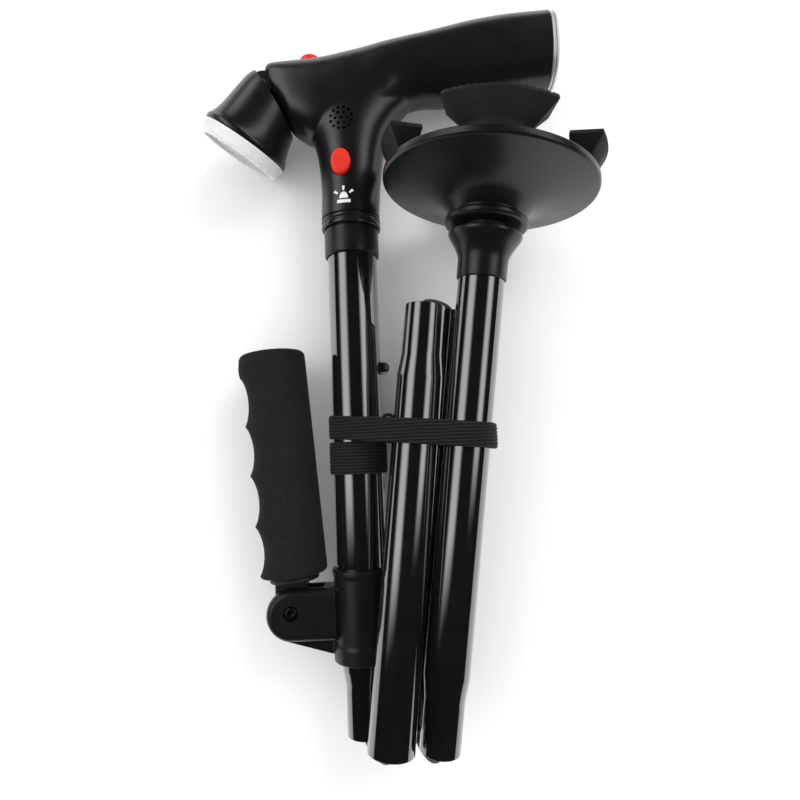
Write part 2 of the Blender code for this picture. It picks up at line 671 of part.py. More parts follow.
# ---------------------------------------------------------------- lower tubes
def build_lower_tubes():
    """The second tube has its neck at the top, the fourth at the bottom, the third none."""
    top = (SECOND_TOP - SECOND_BOTTOM).length
    neck = top - NECK_LEN
    cone = neck - NECK_CONE
    second_profile = [
        (NECK_R - CHAMFER, top), (NECK_R, top - CHAMFER), (NECK_R, neck), (TUBE_R, cone),
        (TUBE_R, 0.3), (TUBE_R - 0.3, 0), (TUBE_BORE_R, 0), (TUBE_BORE_R, cone - WALL_STEP),
        (NECK_BORE_R, neck - WALL_STEP), (NECK_BORE_R, top),
    ]
    revolve("second_tube", second_profile, "gloss_black", place(SECOND_BOTTOM, SECOND_UP))
    ring("third_tube", TUBE_R, TUBE_BORE_R, THIRD_BOTTOM, THIRD_TOP, "gloss_black")
    top = (FOURTH_REF - FOURTH_BOTTOM).length + FOURTH_OVER
    cone = NECK_LEN + NECK_CONE
    fourth_profile = [
        (TUBE_R, top), (TUBE_R, cone), (NECK_R, NECK_LEN), (NECK_R, CHAMFER),
        (NECK_R - CHAMFER, 0), (NECK_BORE_R, 0), (NECK_BORE_R, NECK_LEN + WALL_STEP),
        (TUBE_BORE_R, cone + WALL_STEP), (TUBE_BORE_R, top),
    ]
    revolve("fourth_tube", fourth_profile, "gloss_black", place(FOURTH_BOTTOM, FOURTH_UP))


def build_cord_guides():
    """Rings just inside three tube mouths."""
    guides = (  # mouth, direction into the tube, radius
        (SECOND_BOTTOM, SECOND_UP, 8.3),
        (THIRD_TOP, -THIRD_UP, 8.3),
        (FOURTH_BOTTOM, FOURTH_UP, 7.2),
    )
    for n, (mouth, inward, radius) in enumerate(guides):
        start, end = mouth + inward * 1.2, mouth + inward * 7.2
        ring(f"cord_guide_{n + 1}", radius, 2.4, start, end, "matte_black", 24)


def build_cord(name, start, start_out, end, end_out, reach):
    """A cord loop leaving one tube end and entering the next, drawn as a swept wire."""
    points = [start - start_out * 6.0]
    across = end - start
    for i in range(13):
        turn = math.pi * i / 12
        share = (1 - math.cos(turn)) / 2
        out = start_out.lerp(end_out, share).normalized()
        points.append(start + across * share + out * (1.0 + reach * math.sin(turn)))
    points.append(end - end_out * 8.2)
    curve = bpy.data.curves.new(name, "CURVE")
    curve.dimensions = "3D"
    spline = curve.splines.new("POLY")
    spline.points.add(len(points) - 1)
    for spline_point, point in zip(spline.points, points):
        spline_point.co = (*(point * MM), 1.0)
    curve.bevel_depth = 1.5 * MM
    curve.bevel_resolution = 2
    curve.use_fill_caps = True
    wire = bpy.data.objects.new(name, curve)
    model.objects.link(wire)
    add_material(wire, "cord_grey")


def build_cords():
    inner_mouth = Vector((0, 0, INNER_TIP))
    build_cord("elastic_cord_1", inner_mouth, -AXIS_Z, SECOND_BOTTOM, -SECOND_UP, 4.5)
    build_cord("elastic_cord_2", SECOND_TOP, SECOND_UP, THIRD_TOP, THIRD_UP, 5.0)
    build_cord("elastic_cord_3", THIRD_BOTTOM, -THIRD_UP, FOURTH_BOTTOM, -FOURTH_UP, 6.5)


# ---------------------------------------------------------------- base
# Folded, the base is at the top. The disc leans towards +Y from the fourth tube's axis.
BOOT_FRAME = place(FOURTH_REF, FOURTH_UP)
BASE_FRAME = place(BALL_CENTRE, (FOURTH_UP + BASE_TILT).normalized())
# a rubber pad: distance above the disc's top face, inner and outer reach, half width
PAD_STATIONS = [
    (0.3, 31.0, 41.0, 13.6),
    (3.2, 31.4, 41.3, 12.6),
    (3.8, 30.8, 41.6, 13.2),
    (PAD_TOP - 1.6, 27.0, 46.0, 20.7),
    (PAD_TOP, 27.4, 45.7, 20.3),
]


def build_boot():
    """Ferrule on the fourth tube, the ball it carries and the liner over the ball."""
    ferrule_bore = TUBE_R + GAP
    ferrule_profile = [
        (15.0, 23.4), (15.3, 22.6), (15.0, 21.6), (12.4, 18.8), (10.7, 16.2), (10.3, 15.0),
        (10.2, 6.4), (10.0, 6.0), (ferrule_bore, 6.0), (ferrule_bore, 21.7), (6.0, 21.7),
        (6.0, 23.4),
    ]
    revolve("boot_ferrule", ferrule_profile, "rubber_black", BOOT_FRAME)
    ball_profile = [
        (0, BALL_LEVEL + 6.4), (3.4, BALL_LEVEL + 5.4), (5.6, BALL_LEVEL + 3.0),
        (6.4, BALL_LEVEL), (5.6, BALL_LEVEL - 3.0), (4.2, BALL_LEVEL - 4.4), (4.2, 21.4),
        (0, 21.4),
    ]
    revolve("swivel_ball", ball_profile, "steel", BOOT_FRAME, 24)
    liner_profile = [
        (0, 9.1), (4.4, 7.9), (7.2, 5.5), (8.7, 2.6), (9.1, 0.0), (8.9, -2.2), (8.4, -3.4),
        (5.9, -3.4), (6.5, -1.4), (6.7, 0.0), (6.2, 2.6), (4.6, 5.0), (2.4, 6.3), (0, 6.75),
    ]
    revolve("ball_liner", liner_profile, "matte_black", place(BALL_CENTRE, FOURTH_UP), 24)


def build_disc():
    """The disc with its socket, and the cap on its top face."""
    rise = BASE_RISE
    disc_profile = [
        (0, DISC_TOP), (BASE_R - 2, DISC_TOP), (BASE_R, rise + 0.4), (BASE_R, rise - 1.8),
        (BASE_R - 0.8, rise - 2.6), (36.0, rise - 4.0), (27.0, rise - 6.2), (20.0, rise - 9.4),
        (16.4, rise - 12.6), (15.2, rise - 14.4), (15.2, rise - 15.2), (17.0, rise - 15.8),
        (17.1, rise - 17.6), (16.0, rise - 18.6), (9.6, rise - 18.6),
        (9.6, 0.0), (9.2, 3.0), (7.6, 6.0), (4.6, 8.4), (0, 9.7),
    ]
    revolve("base_disc", disc_profile, "matte_black", BASE_FRAME, 36)
    cap_profile = [
        (0, rise + 3.2), (8.0, rise + 3.0), (9.6, rise + 2.2), (10.0, rise + 1.3), (0, rise + 1.3),
    ]
    revolve("base_cap", cap_profile, "rubber_black", BASE_FRAME, 24)


def pad_row(near, far, half):
    """Seven points on the bowed outer edge, then four on the straight inner edge."""
    outer_y = [half * (1 - i / 3) for i in range(7)]
    inner_y = [-half + half * 2 * i / 3 for i in range(4)]
    outer = [(far - 5.6 * (y / half) ** 2, y) for y in outer_y]
    return outer + [(near + 0.8, y * 0.9) for y in inner_y]


def build_foot_pads():
    for n, name in enumerate(("right", "far", "left", "near")):
        turn = math.radians(90 * n + PAD_TURN)
        c, s = math.cos(turn), math.sin(turn)
        sections = [
            [(x * c - y * s, x * s + y * c, DISC_TOP + up) for x, y in pad_row(near, far, half)]
            for up, near, far, half in PAD_STATIONS
        ]
        loft(f"foot_pad_{name}", sections, "rubber_black", BASE_FRAME, smooth=False)


# ---------------------------------------------------------------- strap
def turns_left(a, b, c):
    return (b[0] - a[0]) * (c[1] - a[1]) - (b[1] - a[1]) * (c[0] - a[0]) > 0


def hull(points):
    """The convex outline of (x, y) points, counter-clockwise."""

    def chain(ordered):
        kept = []
        for point in ordered:
            while len(kept) > 1 and not turns_left(kept[-2], kept[-1], point):
                kept.pop()
            kept.append(point)
        return kept[:-1]

    points = sorted(points)
    return chain(points) + chain(points[::-1])


def strap_height(x):
    share = (x - STRAP_LEFT[0]) / (STRAP_RIGHT[0] - STRAP_LEFT[0])
    return STRAP_LEFT[1] + share * (STRAP_RIGHT[1] - STRAP_LEFT[1])


def strap_path():
    """The taut path round all four tubes, allowing for their leans over the strap's width."""
    points = []
    for bottom, up, radius in (
        (Vector((0, 0, 0)), AXIS_Z, UPPER_R),
        (SECOND_BOTTOM, SECOND_UP, TUBE_R),
        (THIRD_BOTTOM, THIRD_UP, TUBE_R),
        (FOURTH_BOTTOM, FOURTH_UP, TUBE_R),
    ):
        reach = radius + STRAP_CLEAR
        for edge in (-STRAP_HALF, STRAP_HALF):
            level = strap_height((bottom + up * STRAP_PROBE).x) + edge
            centre = bottom + up * ((level - bottom.z) / up.z)
            for i in range(32):
                turn = 2 * math.pi * i / 32
                x = centre.x + reach * math.cos(turn)
                y = centre.y + reach * math.sin(turn)
                points.append((round(x, 6), round(y, 6)))
    return hull(points)


def resample(path, count):
    """Evenly spaced points round a closed path."""
    closed = path + path[:1]
    lengths = [math.dist(a, b) for a, b in zip(closed, closed[1:])]
    total = sum(lengths)
    points, walked, i = [], 0.0, 0
    for n in range(count):
        target = total * n / count
        while walked + lengths[i] < target:
            walked += lengths[i]
            i += 1
        share = (target - walked) / lengths[i]
        start, end = closed[i], closed[i + 1]
        points.append(tuple(start[k] + share * (end[k] - start[k]) for k in (0, 1)))
    return points


def outward(path, distance):
    points = []
    for i, (x, y) in enumerate(path):
        before, after = path[i - 1], path[(i + 1) % len(path)]
        along = Vector((after[0] - before[0], after[1] - before[1])).normalized()
        points.append((x + along.y * distance, y - along.x * distance))
    return points


def build_strap():
    """The band round the folded tubes and the keeper ring on the upper one."""
    inside = resample(strap_path(), STRAP_POINTS)
    sections = []
    for a, b in zip(inside, outward(inside, STRAP_THICK)):
        corners = ((a, -STRAP_HALF), (b, -STRAP_HALF), (b, STRAP_HALF), (a, STRAP_HALF))
        sections.append([(*point, strap_height(point[0]) + edge) for point, edge in corners])
    loft("strap_band", sections, "webbing_black", loop=True, smooth=False)
    upright_ring("strap_keeper", 12.7, UPPER_FIT_R, 112.6, 125.0, "webbing_black")


# ---------------------------------------------------------------- joint axes
LAMP_PIECES = (
    "lamp_housing", "lamp_bezel", "lamp_lens", "lamp_reflector", "led_board", "led_chip",
)
BASE_PIECES = (
    "base_disc", "base_cap", "foot_pad_right", "foot_pad_far", "foot_pad_left", "foot_pad_near",
)
DOOR_HINGE = Vector((CAP_X + 2.4, 0, END_LOW + 0.6))
# name, place, pieces that turn about it
JOINTS = (
    ("lamp_axis", LAMP_HINGE, LAMP_PIECES),
    ("grip_axis", GRIP_PIVOT, ("grip_core", "foam_grip")),
    ("swivel_axis", BALL_CENTRE, BASE_PIECES),
    ("door_axis", DOOR_HINGE, ("battery_door", "door_latch")),
)


def build_joints():
    for name, at, pieces in JOINTS:
        empty = bpy.data.objects.new(name, None)
        empty.location = at * MM
        model.objects.link(empty)
        bpy.context.view_layer.update()  # so that matrix_world holds the new location
        for piece in pieces:
            child = bpy.data.objects[piece]
            child.parent = empty
            child.matrix_parent_inverse = empty.matrix_world.inverted()


def move_to_origin():
    for obj in bpy.data.objects:
        if obj.parent is None:
            obj.location -= ORIGIN * MM
    bpy.context.view_layer.update()


build_handle_shells()
build_collars()
build_battery_end()
build_power_and_board()
build_speaker()
build_buttons()
build_lamp_housing()
build_lamp_hinge()
build_lamp_optics()
build_upper_tube()
build_inner_tube()
build_snap_button()
build_snap_spring()
build_bracket()
build_pivot()
build_grip_core()
build_foam_grip()
build_lower_tubes()
build_cord_guides()
build_cords()
build_boot()
build_disc()
build_foot_pads()
build_strap()
build_joints()
move_to_origin()
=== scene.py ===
# A folding walking stick, folded up: a handle with a lamp and an alarm, four tubes joined by
# elastic cord, a foam side grip, a strap, and a swivelling base whose pads point up.
# +X runs from the lamp to the battery door, -Y faces the camera and +Z is up. Shapes are drawn
# in mm with the upper tube's axis at x = y = 0, then moved so that ORIGIN is the frame's zero.
from math import acos, copysign, cos, degrees, dist, exp, pi, radians, sin, sqrt, tau

import bmesh
import bpy
import numpy as np
from mathutils import Matrix, Vector
from mathutils.bvhtree import BVHTree


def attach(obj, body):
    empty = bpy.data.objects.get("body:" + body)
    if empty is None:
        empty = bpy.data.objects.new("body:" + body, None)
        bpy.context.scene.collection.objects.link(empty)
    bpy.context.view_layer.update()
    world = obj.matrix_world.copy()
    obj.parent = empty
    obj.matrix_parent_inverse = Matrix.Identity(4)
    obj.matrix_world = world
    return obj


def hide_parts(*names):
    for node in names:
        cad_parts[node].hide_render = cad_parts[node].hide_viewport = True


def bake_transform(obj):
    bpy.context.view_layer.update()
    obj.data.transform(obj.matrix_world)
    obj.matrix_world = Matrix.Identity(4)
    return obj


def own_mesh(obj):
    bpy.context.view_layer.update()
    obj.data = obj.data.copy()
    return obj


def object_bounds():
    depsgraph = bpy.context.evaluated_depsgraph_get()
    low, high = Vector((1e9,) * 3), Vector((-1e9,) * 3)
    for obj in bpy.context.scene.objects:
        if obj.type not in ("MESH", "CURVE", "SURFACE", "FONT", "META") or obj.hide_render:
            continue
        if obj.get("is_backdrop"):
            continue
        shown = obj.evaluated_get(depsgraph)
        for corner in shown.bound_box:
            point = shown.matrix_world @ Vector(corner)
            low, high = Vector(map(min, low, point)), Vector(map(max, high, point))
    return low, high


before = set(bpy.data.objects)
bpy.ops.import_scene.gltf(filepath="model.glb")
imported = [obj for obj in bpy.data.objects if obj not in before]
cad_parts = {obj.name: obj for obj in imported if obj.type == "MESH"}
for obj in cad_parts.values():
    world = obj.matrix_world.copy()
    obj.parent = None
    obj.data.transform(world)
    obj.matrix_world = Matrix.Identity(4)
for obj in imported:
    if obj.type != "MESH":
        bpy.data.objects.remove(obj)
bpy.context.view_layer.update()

MM = 0.001
scene = bpy.context.scene

# ------------------------------------------------- dimensions shared with the CAD source, mm
TUBE_R, TUBE_WALL = 9.5, 0.8
NECK_R, NECK_LEN, NECK_CONE = 8.4, 20.5, 9.5
UPPER_R, UPPER_IN_R, UPPER_BOTTOM, UPPER_TOP = 11.0, 9.95, 34.6, 238.0
INNER_TOP, INNER_TIP = 196.0, 3.6
HOLE_TOP, HOLE_PITCH, HOLE_COUNT = 158.7, 25.0, 4
SLEEVE_BOTTOM, SLEEVE_TOP, LIP_BOTTOM, LIP_TOP = 208.9, 221.2, 221.5, 226.2
SECOND_BOTTOM, SECOND_TOP = Vector((10.3, -19.0, 4.4)), Vector((31.22, -16.33, 181.8))
THIRD_BOTTOM, THIRD_TOP = Vector((20.8, 6.5, 5.0)), Vector((42.45, 1.27, 182.6))
FOURTH_BOTTOM, FOURTH_REF = Vector((29.7, -13.0, 1.8)), Vector((53.34, -24.2, 183.7))
FOURTH_OVER = 21.0  # how far the fourth tube runs past FOURTH_REF
SECOND_UP = (SECOND_TOP - SECOND_BOTTOM).normalized()
THIRD_UP = (THIRD_TOP - THIRD_BOTTOM).normalized()
FOURTH_UP = (FOURTH_REF - FOURTH_BOTTOM).normalized()
BASE_R, BASE_LEVEL, BALL_LEVEL, PAD_TOP = 44.0, 46.0, 29.0, 13.4
BASE_TILT = Vector((0.0, 0.075, 0.0))
LAMP_RIM, LAMP_R = Vector((-47.02, 2.0, 266.66)), 20.2
LAMP_AXIS = Vector((-0.579, 0.163, -0.799)).normalized()
LAMP_HINGE = Vector((-36.9, 0.0, 288.6))
BRACKET_BOTTOM, BRACKET_TOP = 34.3, 72.8
ORIGIN = Vector((-12.1, 0.0, BRACKET_BOTTOM))  # the frame starts on the bracket's lower face
GRIP_PIVOT, GRIP_BASE = Vector((-29.8, 0.0, 55.9)), Vector((-28.0, 0.0, 54.0))
TONGUE_X, TONGUE_Z = -1.64, 2.04
GRIP_LEAN, GRIP_BOTTOM, GRIP_TOP = 4.69, 16.6, 113.4  # degrees, then mm along the side grip
ALARM_AT, SPEAKER_AT = Vector((-2.7, -13.4, 248.2)), Vector((-1.9, -14.6, 267.7))
LIGHT_AT = Vector((-16.5, 0.0, 302.3))
CAP_X = 92.6  # where the grip meets its end frame
STRAP_LEFT, STRAP_RIGHT, STRAP_HALF = (-13.5, 133.2), (58.2, 126.0), 5.1  # (x, z) of each end

# Handle grip: x, lowest z, highest z, half width in y
GRIP = [
    (-36.6, 289.5, 297.6, 7.0), (-35.2, 285.4, 300.2, 9.6), (-30.0, 276.4, 301.0, 12.0),
    (-24.0, 268.4, 301.4, 13.4), (-12.0, 262.5, 302.3, 14.6), (3.0, 262.5, 305.2, 15.0),
    (17.6, 272.5, 308.4, 15.0), (25.0, 278.0, 309.8, 14.8), (35.0, 280.8, 311.7, 14.8),
    (45.0, 280.6, 313.9, 15.0), (59.0, 281.6, 316.9, 15.4), (75.0, 283.2, 318.9, 15.8),
    (CAP_X - 0.4, 284.6, 319.9, 16.0),
]
# Handle stem: z, lowest x, highest x, half width in y
STEM = [
    (226.5, -13.1, 13.1, 13.1), (231.0, -13.0, 13.2, 13.1), (238.0, -12.7, 13.7, 13.1),
    (246.0, -13.0, 14.4, 13.3), (254.0, -13.8, 15.4, 13.6), (260.0, -15.0, 16.6, 13.9),
    (266.0, -17.0, 18.6, 14.2), (272.0, -20.0, 22.4, 14.4), (282.0, -24.0, 30.0, 14.0),
    (292.0, -20.0, 26.0, 13.0),
]


# ------------------------------------------------- node materials
class Graph:
    """Adds nodes to a tree. An input given a socket is linked, any other value is set."""

    def __init__(self, tree):
        self.tree = tree

    def set(self, node, key, value):
        socket = node.inputs[key]
        if isinstance(value, bpy.types.NodeSocket):
            self.tree.links.new(value, socket)
        else:
            socket.default_value = value

    def node(self, kind, inputs=(), **settings):
        made = self.tree.nodes.new(kind)
        for key, value in settings.items():
            setattr(made, key, value)
        for key, value in dict(inputs).items():
            self.set(made, key, value)
        return made

    def calc(self, what, first, second=0.0, *rest):
        values = enumerate((first, second, *rest))
        return self.node("ShaderNodeMath", values, operation=what).outputs[0]


class Finish(Graph):
    """A Principled material. Lengths are in metres, in the piece's own space.

    Extra keywords are Principled inputs, with underscores for spaces."""

    def __init__(self, name, colour=(0.5, 0.5, 0.5), rough=0.5, metal=0.0, **more):
        self.made = bpy.data.materials.new(name)
        self.made.use_nodes = True
        super().__init__(self.made.node_tree)
        self.body = self.tree.nodes["Principled BSDF"]
        self.point = self.node("ShaderNodeTexCoord").outputs["Object"]
        self.set(self.body, "Base Color", (*colour, 1.0))
        self.set(self.body, "Roughness", rough)
        self.set(self.body, "Metallic", metal)
        for key, value in more.items():
            self.set(self.body, key.replace("_", " "), value)
        self.normal = None

    def calc(self, what, first, second):
        return super().calc(what, first, second, 0.0)

    def noise(self, scale, detail=3.0, rough=0.5, at=None):
        inputs = {
            "Vector": at or self.point, "Scale": scale, "Detail": detail, "Roughness": rough,
        }
        return self.node("ShaderNodeTexNoise", inputs).outputs["Fac"]

    def streaks(self, across, rough):
        """Noise drawn out along Z."""
        inputs = {"Vector": self.point, "Scale": (across, across, 40)}
        stretched = self.node("ShaderNodeMapping", inputs).outputs[0]
        return self.noise(scale=1.0, detail=4.0, rough=rough, at=stretched)

    def cells(self, scale):
        inputs = {"Vector": self.point, "Scale": scale, "Randomness": 1.0}
        return self.node("ShaderNodeTexVoronoi", inputs, feature="F1").outputs["Distance"]

    def wave(self, scale, axis, warp=0.0, detail_scale=1.0, kind="BANDS"):
        inputs = {
            "Vector": self.point, "Scale": scale, "Distortion": warp,
            "Detail": 2.0, "Detail Scale": detail_scale,
        }
        settings = {"wave_type": kind, f"{kind.lower()}_direction": axis}
        return self.node("ShaderNodeTexWave", inputs, **settings).outputs["Fac"]

    def span(self, value, over, to=(0.0, 1.0)):
        """Carries the range `over` onto the range `to`."""
        inputs = {
            "Value": value, "From Min": over[0], "From Max": over[1],
            "To Min": to[0], "To Max": to[1],
        }
        return self.node("ShaderNodeMapRange", inputs).outputs["Result"]

    def mix(self, share, low, high):
        """Blends two colours, each an RGB tuple or a socket."""
        made = self.node("ShaderNodeMix", {0: share}, data_type="RGBA")
        for key, value in ((6, low), (7, high)):
            self.set(made, key, (*value, 1.0) if isinstance(value, tuple) else value)
        return made.outputs[2]

    def tones(self, share, low, high):
        self.set(self.body, "Base Color", self.mix(share, low, high))

    def roughen(self, source, to, over=(0.3, 0.7)):
        self.set(self.body, "Roughness", self.span(source, over, to))

    def bump(self, height, deep, strength=1.0):
        inputs = {"Height": height, "Distance": deep, "Strength": strength}
        made = self.node("ShaderNodeBump", inputs)
        if self.normal is not None:
            self.set(made, "Normal", self.normal)
        self.normal = made.outputs[0]
        self.set(self.body, "Normal", self.normal)
        return self


def moulded(name, dark, light, rough=(0.36, 0.5), grain=2600.0, deep=0.00001, wear=0.25, **more):
    """Grained plastic with faint mottling and edges rubbed smoother and lighter."""
    look = Finish(name, **more)
    cloud = look.noise(scale=55.0, detail=4.0)
    fine = look.noise(scale=grain, detail=2.0, rough=0.6)
    base = look.mix(cloud, dark, light)
    pointiness = look.node("ShaderNodeNewGeometry").outputs["Pointiness"]
    edges = look.span(pointiness, over=(0.59, 0.7))
    worn = look.calc("MULTIPLY", edges, look.calc("MULTIPLY", look.noise(scale=300.0), wear))
    look.tones(worn, base, tuple(min(1.0, c * 2.6 + 0.02) for c in light))
    patches = look.span(look.noise(scale=140.0), over=(0.3, 0.7), to=rough)
    polish = look.calc("MULTIPLY", worn, 0.3)
    look.set(look.body, "Roughness", look.calc("SUBTRACT", patches, polish))
    look.bump(fine, deep, strength=0.7)
    return look.bump(look.noise(scale=90.0, detail=2.0), deep=0.00002, strength=0.25).made


def tube_paint():
    look = Finish(
        "tube_gloss", colour=(0.004, 0.004, 0.005), rough=0.07, IOR=2.1,
        Coat_Weight=1.0, Coat_Roughness=0.025, Coat_IOR=1.6,
    )
    look.roughen(look.streaks(across=900, rough=0.6), to=(0.05, 0.15), over=(0.35, 0.8))
    look.tones(look.noise(scale=80.0), (0.003, 0.003, 0.004), (0.008, 0.008, 0.009))
    return look.bump(look.noise(scale=700.0, detail=2.0), deep=0.000004, strength=0.5).made


def foam_skin():
    look = Finish(
        "foam", colour=(0.02, 0.02, 0.021), rough=0.95,
        Sheen_Weight=0.03, Sheen_Roughness=0.5, Specular_IOR_Level=0.08,
    )
    pore = look.cells(scale=1500.0)
    fine = look.noise(scale=3800.0, rough=0.7)
    cloud = look.noise(scale=70.0, detail=4.0)
    # The colour darkens towards the bottom of each pore: painted shade in the pits, varied by
    # random mottling.
    share = look.calc("MULTIPLY", pore, look.calc("ADD", cloud, 0.3))
    look.tones(share, (0.0075, 0.0078, 0.0085), (0.02, 0.0203, 0.021))
    look.roughen(cloud, to=(0.86, 0.98))
    look.bump(pore, deep=0.00022, strength=0.5).bump(fine, deep=0.00008, strength=0.5)
    return look.bump(look.noise(scale=240.0), deep=0.0002, strength=0.35).made


def webbing():
    """Woven elastic: lengthwise cords crossed by fine picks, with loose fibre variation and painted
    shade in the low parts of the weave.
    """
    look = Finish(
        "strap_weave", colour=(0.02, 0.02, 0.021), rough=0.9,
        Sheen_Weight=0.05, Sheen_Roughness=0.5, Specular_IOR_Level=0.15,
    )
    picks = [look.wave(scale=620.0, axis=axis, warp=1.6, detail_scale=60.0) for axis in "XY"]
    yarn = look.wave(scale=235.0, axis="Z", warp=1.4, detail_scale=40.0)
    cross = look.calc("MULTIPLY", look.calc("MAXIMUM", *picks), 0.35)
    weave = look.calc("MULTIPLY", look.calc("ADD", cross, 0.7), look.calc("ADD", yarn, 0.15))
    fuzz = look.noise(scale=1900.0, rough=0.7)
    # Darker where the weave is low: painted shade between the yarns, with random fibre variation on
    # top.
    share = look.calc("MULTIPLY", weave, look.calc("ADD", fuzz, 0.25))
    look.tones(share, (0.003, 0.003, 0.0035), (0.024, 0.0243, 0.0255))
    look.roughen(fuzz, to=(0.8, 0.97))
    look.bump(weave, deep=0.00018, strength=0.6)
    return look.bump(fuzz, deep=0.00008, strength=0.4).made


def braid():
    look = Finish("braid", colour=(0.05, 0.05, 0.055), rough=0.85, Sheen_Weight=0.2)
    strands = look.wave(scale=420.0, axis="DIAGONAL")
    pits = look.cells(scale=900.0)
    # Darker in the grooves between strands and in the small pits: painted shade where the braid
    # sinks.
    share = look.calc("MULTIPLY", strands, pits)
    look.tones(share, (0.006, 0.006, 0.007), (0.06, 0.06, 0.065))
    look.bump(strands, deep=0.00025, strength=0.7)
    return look.bump(pits, deep=0.0001, strength=0.5).made


def red_key():
    look = Finish(
        "red_key", colour=(0.7, 0.022, 0.008), rough=0.36,
        Subsurface_Weight=0.08, Subsurface_Scale=0.001, Specular_IOR_Level=0.45,
    )
    share = look.span(look.noise(scale=220.0, detail=4.0), over=(0.3, 0.75))
    look.tones(share, (0.62, 0.016, 0.006), (0.74, 0.03, 0.01))
    look.roughen(look.noise(scale=420.0), to=(0.3, 0.46))
    return look.bump(look.noise(scale=2400.0, detail=2.0), deep=0.00001, strength=0.6).made


def brushed(name, colour, rough, spread=0.12):
    """Metal brushed along Z. Its roughness strays by `spread` each way."""
    look = Finish(name, colour=colour, rough=rough, metal=1.0)
    streak = look.streaks(across=2400, rough=0.65)
    look.tones(look.noise(scale=150.0), tuple(c * 0.82 for c in colour), colour)
    look.roughen(streak, to=(max(0.03, rough - spread), rough + spread), over=(0.25, 0.8))
    return look.bump(streak, deep=0.000008, strength=0.5).made


def silver_paint():
    look = Finish(
        "silver_end", colour=(0.56, 0.57, 0.59), rough=0.34, metal=0.55,
        Coat_Weight=0.4, Coat_Roughness=0.2,
    )
    look.tones(look.cells(scale=5200.0), (0.46, 0.47, 0.49), (0.72, 0.73, 0.75))
    look.roughen(look.noise(scale=260.0), to=(0.27, 0.42))
    return look.bump(look.noise(scale=2600.0, detail=2.0), deep=0.000008, strength=0.5).made


def frosted():
    look = Finish(
        "frosted_clear", colour=(0.86, 0.88, 0.9), rough=0.3,
        Transmission_Weight=0.18, IOR=1.49, Coat_Weight=0.3, Coat_Roughness=0.1,
    )
    haze = look.noise(scale=180.0, detail=4.0)
    look.tones(haze, (0.8, 0.815, 0.83), (0.92, 0.93, 0.94))
    look.roughen(haze, to=(0.2, 0.42))
    return look.bump(look.noise(scale=1300.0), deep=0.00001, strength=0.4).made


def lens_clear():
    look = Finish(
        "lens_clear", colour=(0.93, 0.95, 0.96), rough=0.1, Transmission_Weight=0.75, IOR=1.49,
    )
    rings = look.wave(scale=150.0, axis="Z", kind="RINGS")
    look.tones(look.noise(scale=120.0), (0.88, 0.9, 0.92), (0.98, 0.99, 1.0))
    look.roughen(look.noise(scale=300.0), to=(0.06, 0.16))
    return look.bump(rings, deep=0.0003, strength=0.8).made


def board():
    look = Finish(
        "board", colour=(0.02, 0.14, 0.05), rough=0.42, Coat_Weight=0.5, Coat_Roughness=0.15,
    )
    inputs = {
        "Vector": look.point, "Scale": 260.0, "Mortar Size": 0.035,
        "Mortar": (0.25, 0.42, 0.12, 1),
        "Color1": (0.012, 0.1, 0.035, 1), "Color2": (0.02, 0.15, 0.05, 1),
    }
    tracks = look.node("ShaderNodeTexBrick", inputs)
    look.set(look.body, "Base Color", tracks.outputs["Color"])
    look.bump(tracks.outputs["Fac"], deep=0.00005, strength=0.6)
    return look.bump(look.noise(scale=900.0), deep=0.00002, strength=0.4).made


def jacket():
    """Battery wrap: black up to z = 30 mm, then silver."""
    look = Finish(
        "cell_jacket", colour=(0.3, 0.31, 0.33), rough=0.28, metal=0.1,
        Coat_Weight=0.8, Coat_Roughness=0.08,
    )
    height = look.node("ShaderNodeSeparateXYZ", {"Vector": look.point}).outputs["Z"]
    band = look.span(height, over=(0.030, 0.0305))
    silver = look.mix(look.noise(scale=90.0), (0.42, 0.43, 0.45), (0.52, 0.53, 0.55))
    look.tones(band, (0.02, 0.02, 0.024), silver)
    look.roughen(look.noise(scale=200.0), to=(0.2, 0.36))
    return look.bump(look.noise(scale=500.0), deep=0.00002, strength=0.4).made


def phosphor():
    look = Finish(
        "phosphor", colour=(0.9, 0.72, 0.12), rough=0.35, Coat_Weight=1.0, Coat_Roughness=0.03,
    )
    look.tones(look.noise(scale=1600.0), (0.85, 0.62, 0.08), (0.95, 0.8, 0.2))
    return look.bump(look.noise(scale=1100.0), deep=0.00003, strength=0.4).made


def white_ink():
    look = Finish("white_ink", colour=(0.78, 0.78, 0.77), rough=0.55)
    look.tones(look.noise(scale=900.0, detail=4.0), (0.6, 0.6, 0.6), (0.85, 0.85, 0.84))
    look.roughen(look.noise(scale=1500.0), to=(0.45, 0.65))
    return look.bump(look.noise(scale=2600.0), deep=0.000006, strength=0.5).made


SATIN = moulded(
    "satin_black", dark=(0.0032, 0.0034, 0.0036), light=(0.006, 0.0062, 0.0064),
    rough=(0.27, 0.33), wear=0.2, Specular_IOR_Level=0.62,
)
SATIN_INNER = moulded(
    "inner_plastic", dark=(0.006, 0.006, 0.0065), light=(0.011, 0.011, 0.0115),
    rough=(0.42, 0.55), grain=1700.0, deep=0.00002,
)
SLEEVE = moulded(
    "sleeve_plastic", dark=(0.0045, 0.0045, 0.005), light=(0.0075, 0.0075, 0.008),
    rough=(0.3, 0.4), grain=1900.0, deep=0.000015, wear=0.3, Specular_IOR_Level=0.42,
)
BRACKET = moulded(
    "bracket_nylon", dark=(0.004, 0.004, 0.0044), light=(0.0075, 0.0075, 0.0078),
    rough=(0.3, 0.4), grain=1500.0, deep=0.00003, wear=0.4, Specular_IOR_Level=0.36,
)
DISC = moulded(
    "base_plastic", dark=(0.0032, 0.0032, 0.0035), light=(0.0058, 0.0058, 0.006),
    rough=(0.28, 0.36), grain=1800.0, deep=0.000014, Specular_IOR_Level=0.5,
)
